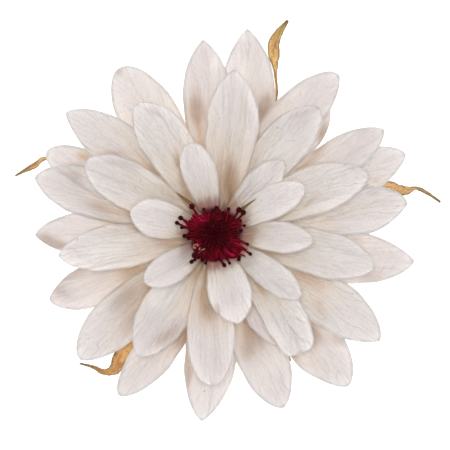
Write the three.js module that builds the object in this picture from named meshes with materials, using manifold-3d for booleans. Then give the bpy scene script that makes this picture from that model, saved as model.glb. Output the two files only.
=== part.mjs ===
// A preserved dahlia flower head, lying face up on its cut base.
// Millimetres, +Z up. The origin is the middle of the flat cut base, on the flower's axis.
// +X and +Y are the right and the top of the flower as seen from straight above.

import * as THREE from 'three';
import { mergeVertices } from 'three/addons/utils/BufferGeometryUtils.js';
import Module from 'manifold-3d';

const wasm = await Module();
wasm.setup();

// Main sizes

const PETAL_THICKNESS = 0.7;
const PETAL_ROOT_RADIUS = 5.2;
const PETAL_STEPS_ALONG = 8;
const PETAL_STEPS_ACROSS = 4;
const TIP_CROWDING = 1.5;
const WIDENING_POWER = 1.15;
const CUP_OPENING_RATE = 2.5;

const RECEPTACLE_FOOT_RADIUS = 7.2;
const RECEPTACLE_TOP_RADIUS = 6.4;
const RECEPTACLE_TOP = 18.3;
const NODE_GAP = 0.3;
const ROUND_SIDES = 24;

const CALYX_FOOT_RADIUS = 5.8;
const CALYX_BELLY_RADIUS = 8.6;
const CALYX_TOP_RADIUS = 7.8;
const CALYX_TOP = 11;

const EYE_RADIUS = 6.2;
const EYE_HEIGHT = 4.2;

// The three rings of petals.
// foot: height of the root of a back petal. step: how much higher a front petal is rooted.
// rise: climb from root to tip of a back petal. lift: how much more a front petal climbs.
// arch: how far the middle stands over the straight line from root to tip. tilt: lean of the blade.
// claw: width of the root as a share of the full width. cup: how far the edges stand up.
// curl and lean: how much the tips bend up or down and the blades roll, from petal to petal.

const RINGS = {
  inner: {
    foot: 16.2, step: 1.2, rise: 12, lift: 2.4, arch: 1.8, tilt: 34, claw: 0.5, cup: 1.9, curl: 2, lean: 1,
  },
  middle: {
    foot: 14.1, step: 1.1, rise: 7.4, lift: 2.8, arch: 2.6, tilt: 14, claw: 0.38, cup: 2, curl: 2.6, lean: 1,
  },
  outer: {
    foot: 12.2, step: 1.1, rise: 0.2, lift: 3.6, arch: 2.8, tilt: 2, claw: 0.18, cup: 1.8, curl: 3, lean: 1,
  },
};

const PETAL_SEED = 31;

// The petals of each ring, anticlockwise from the top one.
// Each row is the petal's layer, tip, root, reach, width, widest, bend, fullness and slant.
// layer: 0 is a back petal, 1 a front one. tip and root: where they lie round the axis, in degrees.
// reach: from the axis to the tip. widest: share of the length where the blade is widest.
// bend: sideways bow to the left. fullness: small is a blunt tip, large a drawn-out one.
// slant: how much more drawn out the left margin is than the right one.

const INNER_PETALS = [
  [0.8, 106.5, 101, 25.2, 9.2, 0.6, -0.5, 0.5, 0],
  [0.7, 165, 163, 23.4, 10.4, 0.6, 0, 0.65, 0],
  [0.1, 214, 221, 22.8, 8.9, 0.56, 0.6, 0.6, 0],
  [1, 284.8, 280, 24.6, 11.8, 0.56, 0.1, 0.72, 0],
  [0.1, 323, 322, 28.6, 8.2, 0.6, 0.4, 0.6, 0],
  [0.35, 356, 0, 26.2, 8.4, 0.58, 0.3, 0.6, 0],
  [1, 28, 29, 27.2, 9, 0.6, 0.4, 0.65, 0],
  [0, 47, 52, 26.9, 8.4, 0.6, 0, 0.65, 0],
];

const MIDDLE_PETALS = [
  [1.05, 83, 85, 44.4, 14.2, 0.64, -1.2, 0.85, -0.12],
  [0.35, 121, 118, 40.8, 13.6, 0.64, -1.6, 0.65, -0.05],
  [-0.3, 151, 151, 40, 12.8, 0.64, -0.3, 0.65, 0],
  [0.7, 187.6, 190, 42.4, 12.2, 0.62, -0.2, 0.75, -0.1],
  [0, 238, 241, 38.8, 14, 0.56, -0.4, 0.65, 0],
  [0.9, 269.5, 269, 40.6, 13, 0.62, -1, 0.52, 0],
  [-0.35, 301, 294, 36.7, 11, 0.62, 0, 0.65, 0],
  [1.15, 308.6, 315, 40.6, 10.8, 0.64, 2.5, 0.26, 0.08],
  [0.3, 348, 351, 43.9, 12.6, 0.66, 0.8, 0.7, 0],
  [0.8, 21, 26, 44.2, 13, 0.64, 1.4, 0.7, 0],
  [0, 51, 57, 44, 12.6, 0.66, 0.7, 0.62, 0.08],
];

const OUTER_PETALS = [
  [0.2, 81, 79, 56.1, 15, 0.64, -2.6, 0.75, -0.05],
  [0.9, 93.6, 97, 52.5, 13.6, 0.66, -0.6, 0.85, 0],
  [0, 120.4, 115, 51.8, 15.6, 0.66, -0.7, 0.52, 0.04],
  [1.1, 141, 137, 51.8, 12.9, 0.64, -2, 0.72, 0.08],
  [-0.1, 154, 150, 50.7, 10.8, 0.74, 0, 0.55, 0],
  [0.9, 162.6, 161, 50.9, 12.9, 0.68, -0.2, 0.68, 0.08],
  [0.3, 180.4, 178, 48.6, 11.6, 0.68, -0.3, 0.78, 0.08],
  [-0.2, 201.5, 200, 48.2, 11.7, 0.7, 1, 0.67, -0.1],
  [1, 223, 220, 49.7, 13.8, 0.64, -1, 0.62, 0.1],
  [0.25, 239.2, 244, 50.8, 12.6, 0.64, 1.9, 0.62, 0.04],
  [-0.2, 266, 266, 50.8, 14.1, 0.6, 1.2, 0.75, 0.1],
  [0.9, 291.6, 288, 50.4, 13.8, 0.66, -0.3, 0.65, 0.05],
  [0, 311, 308, 54.7, 13.8, 0.68, 1.6, 0.66, -0.1],
  [0.9, 327, 332, 52.9, 13.9, 0.66, 1.3, 0.72, -0.1],
  [0, 352.3, 352, 54.4, 14.2, 0.64, -1.4, 0.76, 0.06],
  [0.65, 8.8, 9, 52.6, 13.2, 0.7, 0.3, 0.72, -0.2],
  [0, 22.6, 21, 55.9, 11.6, 0.74, 0.2, 0.7, -0.1],
  [1.1, 31.6, 35, 53.5, 11.2, 0.7, -0.4, 0.7, 0],
  [-0.15, 48, 46, 46, 10.2, 0.7, 0.3, 0.6, 0],
  [0.95, 51.8, 60, 54.3, 13, 0.68, 1.9, 0.6, -0.14],
];

// The sepals: dry ribbons that run out under the petals and twist.
// Each point is x, y and z on the ribbon's middle line, with its width and its twist in degrees.

const SEPAL_THICKNESS = 0.65;
const SEPAL_STEPS = 16;

const SEPALS = [
  [
    [2.7, 5.8, 8.8, 7, 0],
    [6.2, 13.2, 8.6, 8.4, 0],
    [11, 23, 8.6, 7, 15],
    [15, 31, 8.8, 4.4, 60],
    [16.8, 37, 8.8, 2.6, 85],
    [16.5, 43, 8.9, 2.3, 80],
    [15.9, 48, 9, 3.4, 25],
    [16.2, 52.5, 9.6, 3, 0],
    [19.7, 57.8, 10.6, 0.7, -20],
  ],
  [
    [6.2, 1.6, 8.8, 7, 0],
    [14, 3.7, 8.5, 8.4, 0],
    [25, 6.7, 8.3, 7.2, 5],
    [37, 10, 8.4, 5, 15],
    [46.5, 12.9, 8.6, 3.6, 15],
    [51, 11.8, 8.8, 3.3, 0],
    [54.6, 12.7, 9.2, 1.6, 60],
    [57.8, 11.1, 9, 1.1, 20],
    [61.1, 8.6, 8.4, 0.6, 0],
  ],
  [
    [-5.9, 2.5, 8.8, 7, 0],
    [-13.2, 5.6, 8.5, 8.2, 0],
    [-24, 10.4, 8.3, 6.8, 8],
    [-35, 15.4, 8.2, 4.2, 25],
    [-45, 20.1, 8.2, 1.4, 30],
    [-49.2, 18.4, 8.6, 1.9, 15],
    [-54.2, 15.7, 9.2, 0.6, 0],
  ],
  [
    [-3.8, -5.1, 8.8, 7, 0],
    [-8.6, -11.6, 8.5, 8.4, 0],
    [-15, -20, 8.3, 7.4, 0],
    [-21.4, -28.6, 8.2, 5, 10],
    [-25.2, -33, 8, 4.6, 10],
    [-27, -36.4, 7.8, 3.4, 15],
    [-29.8, -37.5, 8, 1.7, 25],
    [-33.2, -35.9, 8.4, 1.1, 0],
    [-36.7, -35.1, 8.8, 0.6, 0],
  ],
  [
    [2.9, -5.7, 8.8, 7, 0],
    [6.6, -12.9, 8.5, 8.4, 0],
    [11, -21.2, 8.3, 6.8, -10],
    [15, -27.6, 8.2, 4.2, -30],
    [18, -31.6, 8.4, 2.4, -50],
    [20.4, -34.4, 9, 0.7, -30],
  ],
];

// The stamens: a domed cushion, knobs on it, and curled filaments with knobs round its rim.
// Filament heights are over the foot of the cushion, and their reach is beyond its radius.

const STAMEN_SEED = 41;
const FILAMENT_COUNT = 28;
const FILAMENT_WIDTH = 0.6;
const FILAMENT_STEPS = 3;
const FILAMENT_ROOT_RADIUS = 4.2;
const FILAMENT_ROOT_HEIGHT = 1.8;
const FILAMENT_BEND_HEIGHT = 2.6;
const FILAMENT_TIP_HEIGHT = { least: 3.4, more: 1.6 };
const FILAMENT_REACH = { least: 1.5, more: 1.5 };
const RIM_KNOB_RADIUS = 0.65;
const DOME_KNOB_COUNT = 30;
const DOME_KNOB_RADIUS = 0.75;
const DOME_KNOB_SPREAD = 0.9;
const GOLDEN_ANGLE = Math.PI * (3 - Math.sqrt(5));

const RANDOM_FACTOR = 16807;
const RANDOM_MODULUS = 2147483647;
const MERGE_DISTANCE = 1e-4;

const MATERIALS = {
  petals: new THREE.MeshStandardMaterial({ color: 0xe9e2e0, roughness: 0.62, metalness: 0 }),
  stamens: new THREE.MeshStandardMaterial({ color: 0x4a0716, roughness: 0.7, metalness: 0 }),
  calyx: new THREE.MeshStandardMaterial({ color: 0xc4a06c, roughness: 0.75, metalness: 0 }),
};

// Helpers

function degrees(angle) {
  return THREE.MathUtils.degToRad(angle);
}

function seededRandom(seed) {
  let state = seed;
  return () => {
    state = (state * RANDOM_FACTOR) % RANDOM_MODULUS;
    return state / RANDOM_MODULUS;
  };
}

function solidFromMesh(positions, triangles) {
  const mesh = new wasm.Mesh({
    numProp: 3,
    vertProperties: new Float32Array(positions),
    triVerts: new Uint32Array(triangles),
  });
  return new wasm.Manifold(mesh);
}

function solidFromGeometry(geometry) {
  geometry.deleteAttribute('normal');
  geometry.deleteAttribute('uv');
  const merged = mergeVertices(geometry, MERGE_DISTANCE);
  return solidFromMesh(merged.attributes.position.array, merged.index.array);
}

function geometryFromSolid(solid) {
  const mesh = solid.getMesh();
  const geometry = new THREE.BufferGeometry();
  geometry.setAttribute('position', new THREE.BufferAttribute(mesh.vertProperties, 3));
  geometry.setIndex(new THREE.BufferAttribute(mesh.triVerts, 1));
  geometry.computeVertexNormals();
  return geometry;
}

function joined(solids) {
  return solids.reduce((whole, piece) => whole.add(piece));
}

function turnedSolid(profile, sides) {
  const points = profile.map(([radius, height]) => new THREE.Vector2(radius, height));
  const geometry = new THREE.LatheGeometry(points, sides);
  geometry.rotateX(Math.PI / 2);
  return solidFromGeometry(geometry);
}

// A closed skin over sections of equally many points, with flat ends.

function skinnedSolid(sections) {
  const positions = sections.flat().flatMap((point) => [point.x, point.y, point.z]);
  const triangles = [];
  const around = sections[0].length;
  const last = (sections.length - 1) * around;
  for (let k = 0; k < last; k += around) {
    for (let i = 0; i < around; i += 1) {
      const a = k + i;
      const b = k + ((i + 1) % around);
      triangles.push(a, b, b + around, a, b + around, a + around);
    }
  }
  for (let i = 1; i < around - 1; i += 1) {
    triangles.push(0, i + 1, i, last, last + i, last + i + 1);
  }
  return solidFromMesh(positions, triangles);
}

// The four corners of a flat strip across a curve. Without twist the strip lies level.

function stripSection(curve, share, width, thickness, twist) {
  const centre = curve.getPoint(share);
  const heading = curve.getTangent(share);
  const side = new THREE.Vector3(0, 0, 1).cross(heading).normalize().applyAxisAngle(heading, twist);
  const over = new THREE.Vector3().crossVectors(heading, side).normalize();
  side.multiplyScalar(width / 2);
  over.multiplyScalar(thickness / 2);
  return [
    centre.clone().sub(side).sub(over),
    centre.clone().add(side).sub(over),
    centre.clone().add(side).add(over),
    centre.clone().sub(side).add(over),
  ];
}

// Petals

function namedPetal([layer, tip, root, reach, width, widest, bend, fullness, slant]) {
  return { layer, tip, root, reach, width, widest, bend, fullness, slant };
}

function petalPoint(ring, petal, along, across) {
  const root = degrees(petal.root);
  const tip = degrees(petal.tip);
  const start = new THREE.Vector2(Math.cos(root), Math.sin(root)).multiplyScalar(PETAL_ROOT_RADIUS);
  const end = new THREE.Vector2(Math.cos(tip), Math.sin(tip)).multiplyScalar(petal.reach);
  const chord = end.clone().sub(start).normalize();
  const left = new THREE.Vector2(-chord.y, chord.x);
  const middle = start.clone().add(end).multiplyScalar(0.5).addScaledVector(left, 2 * petal.bend);
  const curve = new THREE.QuadraticBezierCurve(start, middle, end);
  const centre = curve.getPoint(along);
  const heading = curve.getTangent(along);

  const growth = Math.sin((Math.min(along / petal.widest, 1) * Math.PI) / 2) ** WIDENING_POWER;
  const pastWidest = Math.max(along - petal.widest, 0) / (1 - petal.widest);
  const taper = (1 - pastWidest ** 2) ** (petal.fullness + petal.slant * across);
  const spread = (ring.claw + (1 - ring.claw) * growth) * taper;
  const side = (across * spread * petal.width) / 2;

  const climb = (ring.rise + ring.lift * petal.layer) * along + 4 * ring.arch * along * (1 - along);
  const opened = spread * Math.min(CUP_OPENING_RATE * along, 1);
  const section = (ring.cup * across ** 2 + ring.lean * petal.lean * across) * opened;
  const curl = ring.curl * petal.curl * along ** 2;
  const height = ring.foot + ring.step * petal.layer + climb + section + curl;
  return new THREE.Vector3(centre.x - heading.y * side, centre.y + heading.x * side, height);
}

// Both faces of a blade are the same surface, one moved back, so they never cross.

function petalSolid(ring, petal) {
  const back = new THREE.Vector3(0, 0, -PETAL_THICKNESS);
  back.applyAxisAngle(new THREE.Vector3(0, 1, 0), -degrees(ring.tilt));
  back.applyAxisAngle(new THREE.Vector3(0, 0, 1), degrees(petal.tip));
  const rowLength = PETAL_STEPS_ACROSS + 1;
  const upper = [];
  for (let j = 0; j < PETAL_STEPS_ALONG; j += 1) {
    const along = 1 - (1 - j / PETAL_STEPS_ALONG) ** TIP_CROWDING;
    for (let i = 0; i < rowLength; i += 1) {
      upper.push(petalPoint(ring, petal, along, (2 * i) / PETAL_STEPS_ACROSS - 1));
    }
  }
  upper.push(petalPoint(ring, petal, 1, 0));
  const lower = upper.map((point) => point.clone().add(back));
  const tip = upper.length - 1;

  const face = [];
  for (let j = 0; j < PETAL_STEPS_ALONG - 1; j += 1) {
    for (let i = 0; i < PETAL_STEPS_ACROSS; i += 1) {
      const a = j * rowLength + i;
      const b = a + rowLength;
      face.push([a, b, b + 1], [a, b + 1, a + 1]);
    }
  }
  const lastRow = (PETAL_STEPS_ALONG - 1) * rowLength;
  for (let i = 0; i < PETAL_STEPS_ACROSS; i += 1) {
    face.push([lastRow + i, tip, lastRow + i + 1]);
  }

  const rim = [];
  for (let j = 0; j < PETAL_STEPS_ALONG; j += 1) {
    rim.push(j * rowLength);
  }
  rim.push(tip);
  for (let j = PETAL_STEPS_ALONG - 1; j >= 0; j -= 1) {
    rim.push(j * rowLength + PETAL_STEPS_ACROSS);
  }
  for (let i = PETAL_STEPS_ACROSS - 1; i > 0; i -= 1) {
    rim.push(i);
  }

  const shift = upper.length;
  const triangles = [];
  face.forEach(([a, b, c]) => {
    triangles.push(a, b, c, a + shift, c + shift, b + shift);
  });
  rim.forEach((a, k) => {
    const b = rim[(k + 1) % rim.length];
    triangles.push(a, b + shift, b, a, a + shift, b + shift);
  });
  const positions = upper.concat(lower).flatMap((point) => [point.x, point.y, point.z]);
  return solidFromMesh(positions, triangles);
}

function petalsNode() {
  const foot = CALYX_TOP + NODE_GAP;
  const receptacle = turnedSolid(
    [
      [0, foot],
      [RECEPTACLE_FOOT_RADIUS, foot],
      [RECEPTACLE_TOP_RADIUS, RECEPTACLE_TOP],
      [0, RECEPTACLE_TOP],
    ],
    ROUND_SIDES,
  );
  const random = seededRandom(PETAL_SEED);
  const blade = (ring, row) =>
    petalSolid(ring, { ...namedPetal(row), curl: random() - 0.5, lean: random() - 0.5 });
  const blades = [
    ...INNER_PETALS.map((row) => blade(RINGS.inner, row)),
    ...MIDDLE_PETALS.map((row) => blade(RINGS.middle, row)),
    ...OUTER_PETALS.map((row) => blade(RINGS.outer, row)),
  ];
  return joined([receptacle, ...blades]);
}

// Stamens

function knob(centre, radius) {
  const geometry = new THREE.IcosahedronGeometry(radius, 0);
  geometry.translate(centre.x, centre.y, centre.z);
  return solidFromGeometry(geometry);
}

function filamentSolid(curve) {
  const sections = [];
  for (let k = 0; k <= FILAMENT_STEPS; k += 1) {
    sections.push(stripSection(curve, k / FILAMENT_STEPS, FILAMENT_WIDTH, FILAMENT_WIDTH, 0));
  }
  return skinnedSolid(sections);
}

function stamensNode() {
  const foot = RECEPTACLE_TOP + NODE_GAP;
  const pieces = [
    turnedSolid(
      [
        [0, foot],
        [0.9 * EYE_RADIUS, foot],
        [EYE_RADIUS, foot + 0.3 * EYE_HEIGHT],
        [0.78 * EYE_RADIUS, foot + 0.75 * EYE_HEIGHT],
        [0.4 * EYE_RADIUS, foot + EYE_HEIGHT],
        [0, foot + 0.94 * EYE_HEIGHT],
      ],
      ROUND_SIDES,
    ),
  ];
  const random = seededRandom(STAMEN_SEED);
  const drawn = ({ least, more }) => least + more * random();
  for (let k = 0; k < FILAMENT_COUNT; k += 1) {
    const angle = ((k + 0.5 * random()) / FILAMENT_COUNT) * 2 * Math.PI;
    const outward = new THREE.Vector3(Math.cos(angle), Math.sin(angle), 0);
    const sideways = new THREE.Vector3(-Math.sin(angle), Math.cos(angle), 0);
    const start = outward.clone().multiplyScalar(FILAMENT_ROOT_RADIUS);
    const bend = outward.clone().multiplyScalar(EYE_RADIUS);
    const end = outward.clone().multiplyScalar(EYE_RADIUS + drawn(FILAMENT_REACH));
    end.addScaledVector(sideways, random() - 0.5);
    start.setZ(foot + FILAMENT_ROOT_HEIGHT);
    bend.setZ(foot + FILAMENT_BEND_HEIGHT);
    end.setZ(foot + drawn(FILAMENT_TIP_HEIGHT));
    pieces.push(filamentSolid(new THREE.QuadraticBezierCurve3(start, bend, end)));
    pieces.push(knob(end, RIM_KNOB_RADIUS));
  }
  for (let k = 0; k < DOME_KNOB_COUNT; k += 1) {
    const share = DOME_KNOB_SPREAD * Math.sqrt((k + 0.5) / DOME_KNOB_COUNT);
    const radius = share * EYE_RADIUS;
    const angle = k * GOLDEN_ANGLE;
    const height = foot + EYE_HEIGHT * (1 - share ** 2 / 2);
    pieces.push(
      knob(new THREE.Vector3(radius * Math.cos(angle), radius * Math.sin(angle), height), DOME_KNOB_RADIUS),
    );
  }
  return joined(pieces);
}

// Calyx

function sepalSolid(points) {
  const curve = new THREE.CatmullRomCurve3(points.map(([x, y, z]) => new THREE.Vector3(x, y, z)));
  const sections = [];
  for (let k = 0; k <= SEPAL_STEPS; k += 1) {
    const share = k / SEPAL_STEPS;
    const place = share * (points.length - 1);
    const index = Math.min(Math.floor(place), points.length - 2);
    const [, , , widthHere, twistHere] = points[index];
    const [, , , widthNext, twistNext] = points[index + 1];
    const width = THREE.MathUtils.lerp(widthHere, widthNext, place - index);
    const twist = THREE.MathUtils.lerp(twistHere, twistNext, place - index);
    sections.push(stripSection(curve, share, width, SEPAL_THICKNESS, degrees(twist)));
  }
  return skinnedSolid(sections);
}

function calyxNode() {
  const cup = turnedSolid(
    [
      [0, 0],
      [CALYX_FOOT_RADIUS, 0],
      [0.87 * CALYX_BELLY_RADIUS, 0.2 * CALYX_TOP],
      [0.97 * CALYX_BELLY_RADIUS, 0.45 * CALYX_TOP],
      [CALYX_BELLY_RADIUS, 0.7 * CALYX_TOP],
      [CALYX_TOP_RADIUS, CALYX_TOP],
      [0, CALYX_TOP],
    ],
    ROUND_SIDES,
  );
  return joined([cup, ...SEPALS.map(sepalSolid)]);
}

// The flower

const flower = new THREE.Group();

function addNode(name, solid) {
  const mesh = new THREE.Mesh(geometryFromSolid(solid), MATERIALS[name]);
  mesh.name = name;
  flower.add(mesh);
}

addNode('petals', petalsNode());
addNode('stamens', stamensNode());
addNode('calyx', calyxNode());

export default flower;
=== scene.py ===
import math
import random
from collections import namedtuple

import bpy
from mathutils import Matrix, Vector, noise


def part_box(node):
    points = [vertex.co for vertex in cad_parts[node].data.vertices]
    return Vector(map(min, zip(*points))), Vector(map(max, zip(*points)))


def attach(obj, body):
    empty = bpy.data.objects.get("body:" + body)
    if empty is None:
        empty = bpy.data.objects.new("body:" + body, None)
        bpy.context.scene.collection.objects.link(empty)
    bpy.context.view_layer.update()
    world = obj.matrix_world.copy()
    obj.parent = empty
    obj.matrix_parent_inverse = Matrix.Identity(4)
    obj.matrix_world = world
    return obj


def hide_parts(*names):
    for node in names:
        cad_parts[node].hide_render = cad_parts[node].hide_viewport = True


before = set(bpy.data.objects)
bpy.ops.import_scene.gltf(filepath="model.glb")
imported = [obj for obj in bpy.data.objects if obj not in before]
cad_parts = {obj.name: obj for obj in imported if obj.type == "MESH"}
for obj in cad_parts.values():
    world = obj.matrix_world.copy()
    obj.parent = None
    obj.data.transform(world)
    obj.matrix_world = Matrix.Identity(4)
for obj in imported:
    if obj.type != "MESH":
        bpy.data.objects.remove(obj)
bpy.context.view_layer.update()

bl_info = {
    "name": "Dahlia Flower",
    "version": (1, 0, 0),
    "blender": (4, 5, 0),
    "location": "3D Viewport > Sidebar > Flower",
    "description": "Dresses a preserved dahlia flower head: petals, stamen eye, sepals and their stage",
    "category": "Object",
}

MM = 0.001
EYE_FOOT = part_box("stamens")[0][2] / MM

# The petals have the forms of the part's source, with a few margins moved by up to about 2 mm.
# All rows are in millimetres, degrees and shares.
# foot, step: root height of a back petal, and how much higher a front one is rooted.
# rise, lift: climb from root to tip of a back petal, and how much more a front one climbs.
# arch: height of the middle over the line from root to tip. tilt: lean of the blade.
# claw: root width as a share of the full width. cup: how far the edges stand up.
# curl, lean: how much the tips bend and the blades roll, from petal to petal.
Ring = namedtuple("Ring", "foot step rise lift arch tilt claw cup curl lean")
RINGS = {
    "inner": Ring(16.2, 1.2, 12, 2.4, 1.8, 34, 0.5, 1.9, 2, 1),
    "middle": Ring(14.1, 1.1, 7.4, 2.8, 2.6, 14, 0.38, 2, 2.6, 1),
    "outer": Ring(12.2, 1.1, 0.2, 3.6, 2.8, 2, 0.18, 1.8, 3, 1),
}
PETAL_SEED = 31
PETAL_ROOT_RADIUS = 5.2
TIP_CROWDING = 1.5
WIDENING_POWER = 1.15
CUP_OPENING_RATE = 2.5
VEIN_SPREADING = 0.35

# layer: 0 is a back petal, 1 a front one. tip, root: where they lie round the axis.
# reach: from the axis to the tip. widest: share of the length where the blade is widest.
# bend: sideways bow to the left. fullness: small is a blunt tip, large a drawn-out one.
# slant: how much more drawn out the left margin is than the right one.
Petal = namedtuple("Petal", "layer tip root reach width widest bend fullness slant")
PETALS = {
    "inner": (
        Petal(0.8, 106.5, 101, 25.2, 9.2, 0.6, -0.5, 0.5, 0),
        Petal(0.7, 165, 163, 23.4, 10.4, 0.6, 0, 0.65, 0),
        Petal(0.1, 214, 221, 22.8, 8.9, 0.56, 0.6, 0.6, 0),
        Petal(1, 284.8, 280, 24.6, 11.8, 0.56, 0.1, 0.72, 0),
        Petal(0.1, 323, 322, 28.6, 8.2, 0.6, 0.4, 0.6, 0),
        Petal(0.35, 356, 0, 26.2, 8.4, 0.58, 0.3, 0.6, 0),
        Petal(1, 28, 29, 27.2, 9, 0.6, 0.4, 0.65, 0),
        Petal(0, 47, 52, 26.9, 8.4, 0.6, 0, 0.65, 0),
    ),
    "middle": (
        Petal(1.05, 83, 85, 44.4, 14.2, 0.64, -1.2, 0.85, -0.12),
        Petal(0.35, 121, 118, 40.8, 13.6, 0.64, -1.6, 0.65, -0.05),
        Petal(-0.3, 151, 151, 40, 12.8, 0.64, -0.3, 0.65, 0),
        Petal(0.7, 187.6, 190, 42.4, 12.2, 0.62, -0.2, 0.75, -0.1),
        Petal(0, 238, 241, 38.8, 14, 0.56, -0.4, 0.65, 0),
        Petal(0.9, 269.5, 269, 40.6, 13, 0.62, -1, 0.52, 0),
        Petal(-0.35, 302.5, 295, 36, 10.4, 0.62, 0, 0.65, 0),
        Petal(1.15, 306, 315, 39.3, 11.3, 0.68, 2, 0.2, 0.02),
        Petal(0.3, 348, 351, 43.9, 12.6, 0.66, 0.8, 0.7, 0),
        Petal(0.8, 21, 26, 44.2, 13, 0.64, 1.4, 0.7, 0),
        Petal(0, 51, 57, 44, 12.6, 0.66, 0.7, 0.62, 0.08),
    ),
    "outer": (
        Petal(0.2, 81, 79.5, 56.1, 15.4, 0.61, -2.9, 0.78, -0.05),
        Petal(0.9, 93.6, 97, 52.5, 13.6, 0.66, -0.6, 0.85, 0),
        Petal(0, 120.4, 115, 51.8, 15.6, 0.66, -0.7, 0.52, 0.04),
        Petal(1.1, 141, 137, 51.8, 12.9, 0.64, -2, 0.72, 0.08),
        Petal(-0.1, 154, 150, 50.7, 10.8, 0.74, 0, 0.55, 0),
        Petal(0.9, 162.6, 161, 50.9, 12.9, 0.68, -0.2, 0.68, 0.08),
        Petal(0.3, 180.4, 178, 48.6, 11.6, 0.68, -0.3, 0.78, 0.08),
        Petal(-0.2, 201.5, 200, 48.2, 11.7, 0.7, 1, 0.67, -0.1),
        Petal(1, 223, 220, 49.7, 13.8, 0.64, -1, 0.62, 0.1),
        Petal(0.25, 239.2, 244, 50.8, 11.4, 0.64, 2.5, 0.62, 0.04),
        Petal(-0.2, 266, 266, 50.8, 14.1, 0.6, 1.2, 0.75, 0.1),
        Petal(0.9, 291.6, 288, 50.4, 13.8, 0.66, -0.3, 0.65, 0.05),
        Petal(0, 311, 308, 54.7, 14.6, 0.68, 1.2, 0.66, -0.1),
        Petal(0.9, 327, 332, 52.9, 13.9, 0.66, 1.3, 0.72, -0.1),
        Petal(0, 352.3, 352, 54.4, 14.2, 0.64, -1.4, 0.76, 0.06),
        Petal(0.65, 8.8, 9, 52.6, 13.2, 0.7, 0.3, 0.72, -0.2),
        Petal(0, 22.6, 21, 55.9, 11.6, 0.74, 0.2, 0.7, -0.1),
        Petal(1.1, 31.6, 35, 53.5, 11.2, 0.7, -0.4, 0.7, 0),
        Petal(-0.15, 48, 46, 46, 10.2, 0.7, 0.3, 0.6, 0),
        Petal(0.95, 51.8, 60, 54.3, 13.9, 0.63, 2.2, 0.61, -0.14),
    ),
}

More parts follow.
